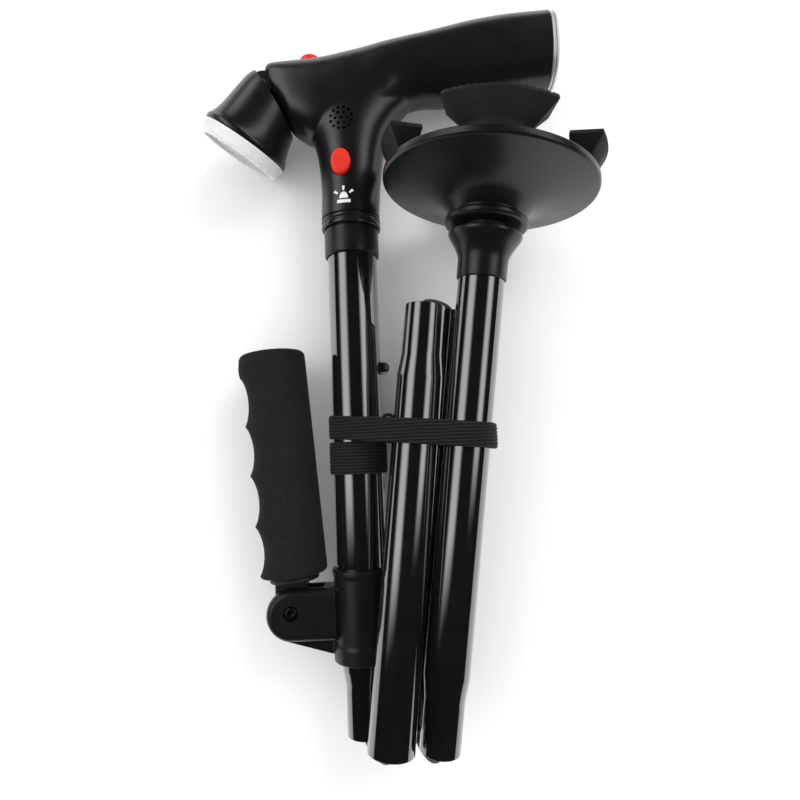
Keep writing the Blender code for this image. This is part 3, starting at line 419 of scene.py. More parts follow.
RUBBER = moulded(
    "rubber", dark=(0.0045, 0.0045, 0.005), light=(0.009, 0.009, 0.0095),
    rough=(0.55, 0.74), grain=1100.0, deep=0.00004, wear=0.4, Specular_IOR_Level=0.35,
)
BOOT = moulded(
    "boot_rubber", dark=(0.0035, 0.0035, 0.0038), light=(0.0065, 0.0065, 0.007),
    rough=(0.26, 0.36), grain=1500.0, deep=0.00002, wear=0.4,
)
GLOSS = tube_paint()
LIP = moulded(
    "lip_gloss", dark=(0.006, 0.006, 0.007), light=(0.011, 0.011, 0.012),
    rough=(0.14, 0.24), grain=900.0, deep=0.000006, wear=0.3,
)
FOAM, WEB, BRAID, RED = foam_skin(), webbing(), braid(), red_key()
CHROME = brushed("chrome", colour=(0.78, 0.78, 0.79), rough=0.09, spread=0.04)
STEEL = brushed("steel", colour=(0.46, 0.46, 0.47), rough=0.3)
DARK_STEEL = brushed("dark_screw", colour=(0.045, 0.045, 0.048), rough=0.38)
SILVER, FROST, LENS = silver_paint(), frosted(), lens_clear()
BOARD, JACKET, PHOSPHOR, INK = board(), jacket(), phosphor(), white_ink()


# ------------------------------------------------- shape helpers (mm in, metres out)
def place(origin=(0, 0, 0), axis=(0, 0, 1), side=(1, 0, 0)):
    """A matrix at `origin` with local Z along `axis` and local X towards `side`."""
    z = Vector(axis).normalized()
    x = Vector(side)
    if abs(x.normalized().dot(z)) > 0.99:
        x = Vector((0, 1, 0))
    x = (x - x.dot(z) * z).normalized()
    turned = Matrix((x, z.cross(x), z)).transposed().to_4x4()
    return Matrix.Translation(Vector(origin) * MM) @ turned


def put(name, points, faces, at=None):
    mesh = bpy.data.meshes.new(name)
    mesh.from_pydata([tuple(float(c) * MM for c in p) for p in points], [], faces)
    shape = bmesh.new()
    shape.from_mesh(mesh)
    bmesh.ops.recalc_face_normals(shape, faces=shape.faces)
    shape.to_mesh(mesh)
    shape.free()
    obj = bpy.data.objects.new(name, mesh)
    scene.collection.objects.link(obj)
    if at is not None:
        obj.matrix_world = at
    return obj


def settle(obj):
    """Makes the modifiers' result the mesh itself."""
    bpy.context.view_layer.update()
    graph = bpy.context.evaluated_depsgraph_get()
    mesh = bpy.data.meshes.new_from_object(obj.evaluated_get(graph), depsgraph=graph)
    obj.modifiers.clear()
    obj.data = mesh
    return obj


def carve(obj, cutters, operation="DIFFERENCE"):
    for cutter in cutters:
        made = obj.modifiers.new("cut", "BOOLEAN")
        made.operation, made.solver, made.object = operation, "MANIFOLD", cutter
    settle(obj)
    for cutter in cutters:
        bpy.data.objects.remove(cutter, do_unlink=True)


def fuse(obj, others, voxel, rounds):
    """Joins closed shapes into one skin with a small fillet where they meet."""
    points, faces = [], []
    back = obj.matrix_world.inverted()
    for one in (obj, *others):
        start = len(points)
        for vertex in one.data.vertices:
            co = vertex.co if one is obj else back @ one.matrix_world @ vertex.co
            points.append(tuple(co * (1 / MM)))
        faces += [[start + i for i in face.vertices] for face in one.data.polygons]
    for other in others:
        bpy.data.objects.remove(other, do_unlink=True)
    mesh = bpy.data.meshes.new(obj.name)
    mesh.from_pydata([tuple(c * MM for c in p) for p in points], [], faces)
    obj.data = mesh
    skin = obj.modifiers.new("skin", "REMESH")
    skin.mode, skin.voxel_size, skin.adaptivity = "VOXEL", voxel * MM, 0.0
    soft = obj.modifiers.new("soft", "SMOOTH")
    soft.factor, soft.iterations = 0.5, rounds
    settle(obj)


def soften(points, radius=0.3, steps=3, least=14.0):
    """Rounds corners that turn by `least` degrees or more. A profile from the axis is open."""
    out, count = [], len(points)
    is_open = points[0][0] == 0
    for i, corner in enumerate(points):
        corner = np.array(corner, float)
        if is_open and i in (0, count - 1):
            out.append(tuple(corner))
            continue
        before = np.array(points[i - 1], float)
        after = np.array(points[(i + 1) % count], float)
        len_in, len_out = np.linalg.norm(before - corner), np.linalg.norm(after - corner)
        bend = float((corner - before) @ (after - corner)) / (len_in * len_out)
        if degrees(acos(max(-1.0, min(1.0, bend)))) < least:
            out.append(tuple(corner))
            continue
        reach = min(radius, len_in * 0.45, len_out * 0.45)
        start = corner + (before - corner) / len_in * reach
        end = corner + (after - corner) / len_out * reach
        for k in range(steps + 1):
            t = k / steps
            out.append(tuple((1 - t) ** 2 * start + 2 * t * (1 - t) * corner + t * t * end))
    return out


def revolve(name, profile, at=None, steps=96, wave=None):
    """Turns (radius, height) about +Z. A profile that leaves the axis out closes on itself.

    wave(turn, radius, height) may change the radius, for ribs and flutes."""
    points, rings = [], []
    for r, z in profile:
        if r < 1e-6:
            rings.append([len(points)])
            points.append((0.0, 0.0, z))
            continue
        row = []
        for i in range(steps):
            turn = tau * i / steps
            reach = wave(turn, r, z) if wave else r
            row.append(len(points))
            points.append((reach * cos(turn), reach * sin(turn), z))
        rings.append(row)
    pairs = list(zip(rings, rings[1:]))
    if len(rings[0]) > 1:
        pairs.append((rings[-1], rings[0]))
    faces = []
    for low, high in pairs:
        if len(low) == 1 and len(high) == 1:
            continue
        for i in range(steps):
            j = (i + 1) % steps
            if len(low) == 1:
                faces.append((low[0], high[j], high[i]))
            elif len(high) == 1:
                faces.append((low[i], low[j], high[0]))
            else:
                faces.append((low[i], low[j], high[j], high[i]))
    return put(name, points, faces, at)


def tube(name, outer, inner, start, end, steps=96, soft=0.25):
    start, end = Vector(start), Vector(end)
    length = (end - start).length
    profile = [(outer, length), (outer, 0), (inner, 0), (inner, length)]
    return revolve(name, soften(profile, soft), place(start, end - start), steps)


def rod(radius, start, end, steps=32):
    start, end = Vector(start), Vector(end)
    length = (end - start).length
    profile = [(0, length), (radius, length), (radius, 0), (0, 0)]
    return revolve("rod", profile, place(start, end - start), steps)


def cross_rod(radius, centre, half, steps):
    """A rod along Y."""
    reach = Vector((0, half, 0))
    return rod(radius, centre - reach, centre + reach, steps)


def block(low, high, at=None):
    (a, b, c), (d, e, f) = low, high
    points = [(x, y, z) for z in (c, f) for x, y in ((a, b), (d, b), (d, e), (a, e))]
    faces = [(0, 3, 2, 1), (4, 5, 6, 7), (0, 1, 5, 4), (1, 2, 6, 5), (2, 3, 7, 6), (3, 0, 4, 7)]
    return put("block", points, faces, at)


def loft(name, sections, at=None, loop=False):
    """Skins a run of sections with equal point counts. A loop joins the last to the first."""
    count, rows = len(sections[0]), len(sections)
    points = [p for section in sections for p in section]
    faces = []
    for row in range(rows if loop else rows - 1):
        low, high = row * count, (row + 1) % rows * count
        for i in range(count):
            j = (i + 1) % count
            faces.append((low + i, low + j, high + j, high + i))
    if not loop:
        faces.append(tuple(reversed(range(count))))
        faces.append(tuple(range((rows - 1) * count, rows * count)))
    return put(name, points, faces, at)


def oval(centre, half_a, half_b, plane, power, count):
    """A superellipse. `plane` names its two axes, as in "XZ"."""
    axis_a, axis_b = (Vector([float(letter == axis) for letter in "XYZ"]) for axis in plane)
    points = []
    for i in range(count):
        c, s = cos(tau * i / count), sin(tau * i / count)
        reach_a = copysign(abs(c) ** (2 / power), c) * half_a
        reach_b = copysign(abs(s) ** (2 / power), s) * half_b
        points.append(tuple(Vector(centre) + axis_a * reach_a + axis_b * reach_b))
    return points


def half_circle(x, z, radius, y, start, steps):
    """Points of a half turn in the XZ plane, from the angle `start`."""
    turns = [start + pi * k / steps for k in range(steps + 1)]
    return [(x + radius * cos(turn), y, z + radius * sin(turn)) for turn in turns]


def pchip(x, y, at):
    """A smooth curve through the points that doesn't overshoot."""
    x, y, at = (np.asarray(values, float) for values in (x, y, at))
    gap = np.diff(x)
    slope = np.diff(y) / gap
    grade = np.zeros_like(y)
    grade[0], grade[-1] = slope[0], slope[-1]
    for i in range(1, len(x) - 1):
        if slope[i - 1] * slope[i] > 0:
            w1, w2 = 2 * gap[i] + gap[i - 1], gap[i] + 2 * gap[i - 1]
            grade[i] = (w1 + w2) / (w1 / slope[i - 1] + w2 / slope[i])
    k = np.clip(np.searchsorted(x, at) - 1, 0, len(gap) - 1)
    t = (at - x[k]) / gap[k]
    return (
        (1 + 2 * t) * (1 - t) ** 2 * y[k]
        + t * (1 - t) ** 2 * gap[k] * grade[k]
        + t * t * (3 - 2 * t) * y[k + 1]
        + t * t * (t - 1) * gap[k] * grade[k + 1]
    )


def refine(rows, count):
    """Resamples a table evenly along its first column."""
    rows = np.array(rows, float)
    at = np.linspace(rows[0, 0], rows[-1, 0], count)
    columns = [pchip(rows[:, 0], rows[:, k], at) for k in range(1, rows.shape[1])]
    return np.column_stack([at] + columns)


def dress(obj, material, angle=None):
    """Sets the only material, and smooth shading up to `angle` degrees."""
    obj.data.materials.clear()
    obj.data.materials.append(material)
    if angle is not None:
        obj.data.shade_smooth()
        obj.data.set_sharp_from_angle(angle=radians(angle))


TO_FRAME = Matrix.Translation(-ORIGIN * MM)


def show(obj, material, body, node=None, angle=32.0):
    """Gives a finished piece its material and body, moves it into the frame and hides the CAD node
    it stands for.
    """
    dress(obj, material, angle)
    obj.matrix_world = TO_FRAME @ obj.matrix_world
    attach(obj, body)
    if node:
        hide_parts(node)


# ------------------------------------------------- handle shell
# The plane where the lamp meets the grip: local X runs up it, local Z points at the grip.
split_low, split_high = Vector((-24.4, 0, 266.6)), Vector((-35.9, 0, 286.6))
split_along = (split_high - split_low).normalized()
SPLIT_AT = place(split_low, Vector((split_along.z, 0, -split_along.x)), split_along)
SHELL_WALL = 2.2


def grip_sections(inset, rows):
    return [
        oval((x, 0, (low + high) / 2), half - inset, (high - low) / 2 - inset, "YZ", 2.35, 64)
        for x, low, high, half in rows
    ]


def stem_sections(inset, rows):
    return [
        oval(((low + high) / 2, 0, z), (high - low) / 2 - inset, half - inset, "XY", 2.1, 64)
        for z, low, high, half in rows
    ]


def grip_hollow():
    rows = refine(GRIP[4:], 40)
    rows[-1][0] += 4.0  # runs out through the open end
    return loft("hollow", grip_sections(SHELL_WALL, rows))


def light_well():
    profile = [(0, 312), (8.4, 312), (5.75, 302.6), (5.3, 302.0), (5.3, 292.0), (0, 292.0)]
    return revolve("well", profile, place((LIGHT_AT.x, 0, 0)), 48)


def alarm_recess():
    # y, half width in x, half height in z
    rows = [
        (-17.0, 6.3, 7.65), (-14.2, 5.75, 7.1), (-13.3, 5.05, 6.4), (-12.9, 4.75, 6.1),
        (-8.0, 4.75, 6.1),
    ]
    return loft("recess", alarm_sections(rows, 48))


def alarm_sections(rows, count):
    return [oval((ALARM_AT.x, y, ALARM_AT.z), a, b, "XZ", 2.0, count) for y, a, b in rows]


def grille_drill():
    """Round holes through the front of the stem, in rings about the speaker."""
    points, faces, radius = [], [], 0.66
    # ring radius, hole count, turn as a share of the hole spacing
    for reach, many, shift in ((0.0, 1, 0), (2.65, 6, 0), (4.75, 12, 0.5)):
        for i in range(many):
            turn = tau * (i + shift) / many
            x, z = SPEAKER_AT.x + reach * cos(turn), SPEAKER_AT.z + reach * sin(turn)
            start = len(points)
            for y in (-18.0, -10.0):
                for k in range(16):
                    around = tau * k / 16
                    points.append((x + radius * cos(around), y, z + radius * sin(around)))
            for k in range(16):
                low, after = start + k, start + (k + 1) % 16
                faces.append((low, after, after + 16, low + 16))
            faces.append(tuple(range(start + 15, start - 1, -1)))
            faces.append(tuple(range(start + 16, start + 32)))
    return put("drill", points, faces)


past_end = [(CAP_X + 3.0, 284.9, 320.2, 16.1)]
below_stem = [(222.5, -13.3, 13.0, 13.1)]
shell = loft("handle_shell", grip_sections(0.0, refine(GRIP + past_end, 154)))
stem = loft("stem", stem_sections(0.0, refine(below_stem + STEM, 74)))
fuse(shell, [stem], voxel=0.62, rounds=9)
# the ends that meet other pieces are cut square again after the softening
carve(
    shell,
    [
        block((-9, -60, -60), (60, 60, 0.2), SPLIT_AT),
        block((GRIP[-1][0], -40, 240), (CAP_X + 20, 40, 340)),
        block((-40, -40, 210), (40, 40, STEM[0][0])),
        grip_hollow(),
        loft("hollow", stem_sections(SHELL_WALL, refine(STEM[2:-1], 30))),
        rod(UPPER_R + 0.3, (0, 0, 216), (0, 0, 240), 64),
        cross_rod(5.6, LAMP_HINGE, 10.4, 48),
        light_well(),
        alarm_recess(),
        block((-37.0, -4.9, 284.4), (-27.1, 4.9, 293.6)),  # slot for the knuckle's root
        grille_drill(),
    ],
)
shell_tree = BVHTree.FromObject(shell, bpy.context.evaluated_depsgraph_get())
# two halves with a fine seam along y = 0
SEAM_HALF = 0.09
back_half = shell.copy()
back_half.data = shell.data.copy()
back_half.name = "handle_shell_back"
scene.collection.objects.link(back_half)
shell.name = "handle_shell_front"
carve(shell, [block((-60, -SEAM_HALF, 200), (120, 40, 340))])
carve(back_half, [block((-60, -40, 200), (120, SEAM_HALF, 340))])
show(shell, SATIN, "handle", "handle_front", 38)
show(back_half, SATIN, "handle", "handle_back", 38)

scrim_back, scrim_front = SPEAKER_AT.copy(), SPEAKER_AT.copy()
scrim_back.y, scrim_front.y = -11.35, -11.75
scrim = tube("speaker_scrim", 6.9, 0.4, scrim_front, scrim_back, 48, 0.1)
show(scrim, SATIN_INNER, "handle", "speaker_grille")

# lip ring under the stem, and the sleeve below it
lip_in = UPPER_R + 0.3
lip_profile = [
    (12.9, LIP_TOP), (13.25, LIP_TOP - 0.5), (13.25, LIP_TOP - 1.6), (12.75, LIP_TOP - 2.0),
    (12.75, LIP_TOP - 2.5), (13.2, LIP_TOP - 2.9), (13.3, LIP_BOTTOM + 0.8), (13.1, LIP_BOTTOM),
    (lip_in, LIP_BOTTOM), (lip_in, LIP_TOP),
]
lip = revolve("lip_ring_trim", soften(lip_profile), steps=128)
show(lip, LIP, "handle", "lip_ring", 50)
sleeve_in = UPPER_R + 0.12
sleeve_profile = [
    (11.9, SLEEVE_TOP), (12.1, SLEEVE_TOP - 0.5), (12.1, SLEEVE_BOTTOM + 0.5),
    (11.8, SLEEVE_BOTTOM), (sleeve_in, SLEEVE_BOTTOM), (sleeve_in, SLEEVE_TOP),
]
sleeve = revolve("collar_sleeve_trim", soften(sleeve_profile), steps=128)
show(sleeve, SLEEVE, "handle", "collar_sleeve", 50)

# ------------------------------------------------- grip end: silver frame, door, latch
end_low, end_high, end_half = GRIP[-1][1:4]


def end_sections(rows):
    """Grip-end outlines from (x past CAP_X, inset)."""
    middle, half_height = (end_low + end_high) / 2, (end_high - end_low) / 2
    return [
        oval((CAP_X + x, 0, middle), end_half - inset, half_height - inset, "YZ", 2.35, 96)
        for x, inset in rows
    ]


frame_rows = [(-0.2, 0.9), (0, 0.5), (0.5, 0.25), (1.0, 0.2), (1.25, 0.4), (1.25, 3.4), (-0.2, 3.4)]
frame_ring = loft("end_frame_ring", end_sections(frame_rows), loop=True)
show(frame_ring, SILVER, "handle", "end_frame", 50)
door_rows = [
    (1.5, 0.5), (1.62, 0.2), (2.1, 0.2), (2.5, 0.45), (2.9, 1.0), (3.2, 1.9), (3.42, 3.2),
    (3.55, 5.0), (3.6, 7.5), (3.62, 11.0), (3.62, 14.0),
]
door = loft("battery_door_cover", end_sections(door_rows))
show(door, SILVER, "door", "battery_door", 50)

LATCH_Z, LATCH_PITCH, LATCH_GROOVE_HALF = 301.0, 0.8, 0.22
# x past CAP_X, inset
latch_rows = [
    (3.7, 0.25), (3.8, 0.0), (4.5, 0.0), (4.9, 0.2), (5.15, 0.6), (5.28, 1.2), (5.3, 2.2),
]
latch = loft(
    "door_latch_thumb",
    [
        oval((CAP_X + x, 0, LATCH_Z), 3.0 - inset, 4.0 - inset, "YZ", 3.0, 48)
        for x, inset in latch_rows
    ],
)
grooves = []
for k in range(-2, 3):
    z = LATCH_Z + LATCH_PITCH * k
    low, high = z - LATCH_GROOVE_HALF, z + LATCH_GROOVE_HALF
    grooves.append(block((CAP_X + 5.0, -4, low), (CAP_X + 6.0, 4, high)))
carve(latch, grooves)
show(latch, SATIN_INNER, "door", "door_latch", 40)

# ------------------------------------------------- buttons
# y, half width in x, half height in z
alarm_rows = [
    (-15.12, 1.2, 1.6), (-15.1, 2.4, 3.3), (-15.02, 3.2, 4.3), (-14.85, 3.7, 5.0),
    (-14.55, 4.1, 5.4), (-14.1, 4.32, 5.65), (-13.4, 4.4, 5.75), (-9.8, 4.4, 5.75),
]
alarm = loft("alarm_key_cap", alarm_sections(alarm_rows, 72))
show(alarm, RED, "alarm_key", "alarm_button", 50)
light_profile = [
    (0, 2.2), (1.4, 2.15), (2.6, 1.95), (3.6, 1.5), (4.4, 0.8), (4.9, 0.0), (5.0, -0.6),
    (5.0, -4.0), (0, -4.0),
]
light_at = place(LIGHT_AT + Vector((0, 0, 1.2)))
light = revolve("light_key_cap", soften(light_profile, 0.4), light_at, 72)
show(light, RED, "light_key", "light_button", 50)

# ------------------------------------------------- printed alarm mark: dome, bar and three rays
MARK_X, MARK_Z = -1.9, 232.9


def decal(name, outline, strip=False):
    """Lays an (x, z) outline on the front of the stem as a thin plate.

    With strip, the outline's two long sides are joined by quads."""
    outer, inner = [], []
    for u, v in outline:
        x, z = MARK_X + u, MARK_Z + v
        hit = shell_tree.ray_cast(Vector((x, -40, z)) * MM, Vector((0, 1, 0)))[0]
        if hit is None or hit.y > -0.011:
            hit = shell_tree.find_nearest(Vector((x, -13.6, z)) * MM)[0]
        y = hit.y / MM
        outer.append((x, y - 0.06, z))
        inner.append((x, y + 0.1, z))
    count = len(outer)
    if strip:
        front = [(i, i + 1, count - 2 - i, count - 1 - i) for i in range(count // 2 - 1)]
    else:
        front = [tuple(range(count))]
    back = [tuple(count + i for i in reversed(face)) for face in front]
    rim = [(i, i + count, (i + 1) % count + count, (i + 1) % count) for i in range(count)]
    show(put(name, outer + inner, front + back + rim), INK, "handle")


across = [i / 6.0 for i in range(-6, 7)]
dome_top = [
    (1.9 * sin(u * pi / 2), -1.1 + 2.7 * max(0.0, cos(u * pi / 2)) + 0.12) for u in across
]
decal("mark_dome", dome_top + [(u, -1.1) for u, v in reversed(dome_top)], strip=True)
bar_top = [(2.95 * u, -1.75) for u in across]
decal("mark_bar", bar_top + [(u, -3.2) for u, v in reversed(bar_top)], strip=True)
for n, lean in enumerate((-52, 0, 52)):
    c, s = cos(radians(90 - lean)), sin(radians(90 - lean))
    # distance out along the ray, half width
    corners = ((3.2, -0.3), (3.2, 0.3), (5.2, 0.6), (5.2, -0.6))
    ray = [(c * reach - s * half, -0.85 + s * reach + c * half) for reach, half in corners]
    decal(f"mark_ray_{n + 1}", ray)

# ------------------------------------------------- handle internals
cell_profile = soften([
    (0, 44.5), (1.9, 44.5), (1.9, 43.5), (3.9, 43.4), (4.3, 43.0), (4.6, 43.1), (5.1, 42.8),
    (5.15, 0.7), (4.7, 0.1), (3.9, 0.0), (3.6, 0.3), (0, 0.3),
])
for n, (y, z) in enumerate(((-5.7, 305.9), (5.7, 305.9), (0.0, 295.8))):
    cell_at = place((42.0, y, z - 3.0), (1, 0, 0), (0, 0, 1))
    cell = revolve(f"cell_{n + 1}", cell_profile, cell_at, 64)
    show(cell, JACKET, "handle", f"battery_cell_{n + 1}", 40)
sounder_profile = [
    (0, 6.4), (1.0, 6.4), (1.1, 5.6), (1.6, 5.6), (1.7, 6.9), (6.2, 7.0), (6.6, 6.6),
    (6.6, 0.4), (6.2, 0.0), (0, 0.0),
]
sounder_at = place((SPEAKER_AT.x, -4.2, SPEAKER_AT.z), (0, -1, 0))
sounder = revolve("sounder_can", soften(sounder_profile, 0.25), sounder_at, 64)
show(sounder, SATIN_INNER, "handle", "buzzer", 40)

# ------------------------------------------------- lamp head
LAMP_AT = place(LAMP_RIM, LAMP_AXIS, (0, 1, 0))
DRAWN_RIM_R = 22.7  # the rim radius that the lamp's profiles are drawn to
HINGE_KNUCKLE_R, HINGE_BORE_R = 5.6, 1.9


def flared(profile):
    """Scales a lamp profile to LAMP_R, a little wider towards the back."""
    rim = LAMP_R / DRAWN_RIM_R
    return [(r * (rim + 0.02 * min(1.0, max(0.0, (-2.0 - z) / 20.0))), z) for r, z in profile]


def lamp_housing():
    # height, radius
    cone = [
        (-28.5, 13.4), (-27.0, 14.6), (-24.0, 15.9), (-18.0, 17.2), (-12.0, 18.4),
        (-7.2, 19.5), (-3.4, 20.9), (-1.4, 22.0),
    ]
    inside = [(0, -20.0), (13.6, -18.0), (17.3, -7.2), (20.6, -0.8), (20.8, 1.2)]
    outside = [(22.45, 1.2), (DRAWN_RIM_R, 0.9), (DRAWN_RIM_R, -0.5), (22.4, -1.0)]
    heights = np.linspace(-1.6, -28.0, 34)
    outside += [(float(r), float(z)) for z, r in zip(heights, pchip(*zip(*cone), heights))]
    profile = inside + outside + [(12.5, -28.5), (0, -28.5)]
    housing = revolve("lamp_shell", flared(profile), LAMP_AT, 128)
    carve(housing, [block((-60, -60, -0.27), (60, 60, 60), SPLIT_AT)])
    carve(housing, [cross_rod(HINGE_KNUCKLE_R, LAMP_HINGE, 6.8, 48)])
    ear = soften([(0, 3.0), (5.2, 3.0), (5.2, 0.0), (0, 0.0)], 0.8, 4)
    ears = [
        revolve("ear", ear, place(LAMP_HINGE + Vector((0, side * 6.9, 0)), (0, side, 0)), 64)
        for side in (-1, 1)
    ]
    carve(housing, ears, "UNION")
    back_hole = rod(3.0, LAMP_RIM - LAMP_AXIS * 17, LAMP_RIM - LAMP_AXIS * 32, 32)
    carve(housing, [cross_rod(HINGE_BORE_R, LAMP_HINGE, 14, 32), back_hole])
    show(housing, SATIN, "lamp", "lamp_housing", 38)


def knuckle_flutes(turn, r, z):
    return r - (0.42 * max(0.0, cos(33 * turn)) if r > 5.0 else 0.0)


def bezel_ribs(turn, r, z):
    if r <= 18.6:
        return r
    return r - 0.3 * (0.5 + 0.5 * cos(108 * turn)) * exp(-(((z - 4.4) / 1.25) ** 4))


def mirror_facets(turn, r, z):
    return r - 0.12 * (0.5 + 0.5 * cos(24 * turn))


lamp_housing()
knuckle_profile = [(0, 6.5), (4.7, 6.5), (5.2, 6.0), (5.2, -6.0), (4.7, -6.5), (0, -6.5)]
knuckle_at = place(LAMP_HINGE, (0, 1, 0), (0, 0, 1))
knuckle = revolve(
    "lamp_knuckle_barrel", soften(knuckle_profile, 0.2), knuckle_at, 264, knuckle_flutes
)
carve(knuckle, [block((-35.9, -4.5, 284.8), (-27.5, 4.5, 293.2))], "UNION")
carve(knuckle, [cross_rod(HINGE_BORE_R, LAMP_HINGE, 14, 32)])
show(knuckle, SATIN_INNER, "handle", "lamp_knuckle", 38)

bezel_profile = [
    (19.2, 1.6), (19.2, 7.5), (19.8, 7.75), (20.5, 7.6), (21.15, 7.0), (21.6, 6.3),
    (21.75, 5.9), (21.95, 5.2), (22.1, 4.4), (22.2, 3.6), (22.3, 2.9), (22.45, 2.5),
    (22.5, 2.1), (22.4, 1.6),
]
bezel = revolve("lamp_bezel_ring", flared(bezel_profile), LAMP_AT, 540, bezel_ribs)
# the rim flare leaves the bezel's inner wall below the ribs' radius limit
show(bezel, FROST, "lamp", "lamp_bezel", 60)
lens_profile = [
    (0, 6.95), (3.0, 6.93), (6.0, 6.88), (9.0, 6.8), (12.0, 6.68), (15.0, 6.5), (17.5, 6.32),
    (18.6, 6.2), (18.8, 6.0), (18.8, 4.7), (18.5, 4.6), (10.0, 5.0), (0, 5.2),
]
lens = revolve("lamp_lens_cover", flared(lens_profile), LAMP_AT, 128)
show(lens, LENS, "lamp", "lamp_lens", 50)
mirror_profile = [
    (18.6, 4.2), (18.7, 3.8), (18.6, 3.4), (17.4, 0.8), (16.0, -2.0), (14.1, -5.2),
    (12.0, -8.0), (9.5, -10.9), (6.8, -13.4), (4.2, -13.4), (7.6, -11.0), (10.8, -8.0),
    (13.1, -5.0), (15.0, -2.0), (16.5, 1.2), (17.6, 4.2),
]
mirror = revolve("lamp_reflector_cup", flared(mirror_profile), LAMP_AT, 144, mirror_facets)
show(mirror, CHROME, "lamp", "lamp_reflector", 30)


# ------------------------------------------------- upper tube and height adjustment
def necked_tube(name, outer, shifts, at=None):
    """A tube from its four outer points. `shifts` moves the inner wall's middle two in z."""
    inner = [
        (r - TUBE_WALL, z + shift) for (r, z), shift in zip(reversed(outer), (0, *shifts, 0))
    ]
    return revolve(name, soften(outer + inner, 0.9, 5, least=3.0), at, 128)


upper = tube(
    "upper_tube_paint", UPPER_R, UPPER_IN_R, (0, 0, UPPER_BOTTOM), (0, 0, UPPER_TOP), 144, 0.3
)
hole_levels = [HOLE_TOP - n * HOLE_PITCH for n in range(HOLE_COUNT)]
carve(upper, [rod(3.7, (6.0, 0, z), (14.0, 0, z), 40) for z in hole_levels])
show(upper, GLOSS, "handle", "upper_tube")
inner_outer = [
    (TUBE_R, INNER_TOP), (TUBE_R, 30.5), (NECK_R, INNER_TIP + NECK_LEN), (NECK_R, INNER_TIP),
]
inner_tube = necked_tube("inner_tube_paint", inner_outer, (0, -0.3))
carve(inner_tube, [rod(3.5, (6.0, 0, HOLE_TOP), (12.0, 0, HOLE_TOP), 40)])
show(inner_tube, GLOSS, "extension", "inner_tube")
snap_profile = [
    (0, 15.6), (0.7, 15.54), (1.3, 15.36), (1.9, 15.04), (2.4, 14.58), (2.8, 13.96),
    (3.02, 13.3), (3.1, 12.6), (3.1, 7.3), (2.8, 7.0), (0, 7.0),
]
snap = revolve("snap_pin_dome", snap_profile, place((0, 0, HOLE_TOP), (1, 0, 0), (0, 1, 0)), 64)
show(snap, CHROME, "snap_pin", "snap_button", 50)

# ------------------------------------------------- side grip bracket and pivot screw
PIVOT_BORE_R = 2.3
SCREW_AT = place(GRIP_PIVOT, (0, -1, 0))


def bracket_arm():
    # y, inset of the outline
    rows = [
        (-9.0, 2.6), (-8.7, 1.7), (-8.0, 0.85), (-6.9, 0.25), (-5.6, 0.0),
        (5.6, 0.0), (6.9, 0.25), (8.0, 0.85), (8.7, 1.7), (9.0, 2.6),
    ]
    sections = []
    for y, inset in rows:
        nose = half_circle(GRIP_PIVOT.x, GRIP_PIVOT.z - 1.2, 10.8 - inset, y, pi / 2, 36)
        low, high = GRIP_PIVOT.z - 12.0 + inset, GRIP_PIVOT.z + 9.6 - inset
        sections.append(nose + [(-11.0, y, low), (-11.0, y, high)])
    return loft("arm", sections)


def bracket_gusset():
    outline = [(-33.8, 45.9), (-34.8, 43.6), (-14.0, 37.6), (-11.0, 37.6), (-11.0, 45.9)]
    return loft("gusset", [[(x, y, z) for x, z in outline] for y in (-3.0, 3.0)])


bottom, top = (0, 0, BRACKET_BOTTOM), (0, 0, BRACKET_TOP)
bracket = tube("bracket_moulding", 12.5, UPPER_R - 1.5, bottom, top, 96, 0.4)
low_band = tube("band", 12.95, 10.5, bottom, (0, 0, BRACKET_BOTTOM + 7.0), 96, 0.4)
top_band = tube("band", 12.9, 10.5, (0, 0, BRACKET_TOP - 3.0), top, 96, 0.4)
fuse(bracket, [low_band, top_band, bracket_arm(), bracket_gusset()], voxel=0.42, rounds=5)
screw_recess = [(0, 20), (4.2, 20), (3.5, 9.3), (3.1, 8.7), (3.0, 7.0), (0, 7.0)]
carve(
    bracket,
    [
        rod(UPPER_R + 0.15, (0, 0, 10), (0, 0, 90), 128),
        block((-60, -60, 20.0), (60, 60, BRACKET_BOTTOM + 0.05)),
        block((-60, -4.4, GRIP_PIVOT.z - 9.8), (-16.6, 4.4, 90)),  # slot for the grip's tongue
        cross_rod(PIVOT_BORE_R, GRIP_PIVOT, 20, 40),
        revolve("recess", screw_recess, SCREW_AT, 64),
    ],
)
show(bracket, BRACKET, "handle", "bracket", 38)
screw_profile = [
    (0, 8.7), (2.2, 8.7), (2.6, 8.3), (2.6, 7.2), (1.8, 7.2), (1.8, -7.8), (0, -7.8),
]
screw = revolve("pivot_screw_head", soften(screw_profile), SCREW_AT, 64)
carve(screw, [revolve("hex", [(0, 12), (1.45, 12), (1.45, 7.6), (0, 7.1)], SCREW_AT, 6)])
show(screw, DARK_STEEL, "handle", "pivot_screw", 30)

# ------------------------------------------------- side grip
grip_lean = radians(GRIP_LEAN)
GRIP_AT = place(GRIP_BASE, Vector((-sin(grip_lean), 0, cos(grip_lean))), (1, 0, 0))


def grip_tongue():
    sections = []
    for y, inset in ((-4.0, 0.4), (-3.6, 0.0), (3.6, 0.0), (4.0, 0.4)):
        end = half_circle(TONGUE_X, TONGUE_Z, 7.0 - inset, y, pi, 24)
        sides = [(TONGUE_X + 7.0 - inset, y, 15.2), (TONGUE_X + inset - 6.2, y, 15.2)]
        sections.append(end + sides)
    return loft("tongue", sections, GRIP_AT)


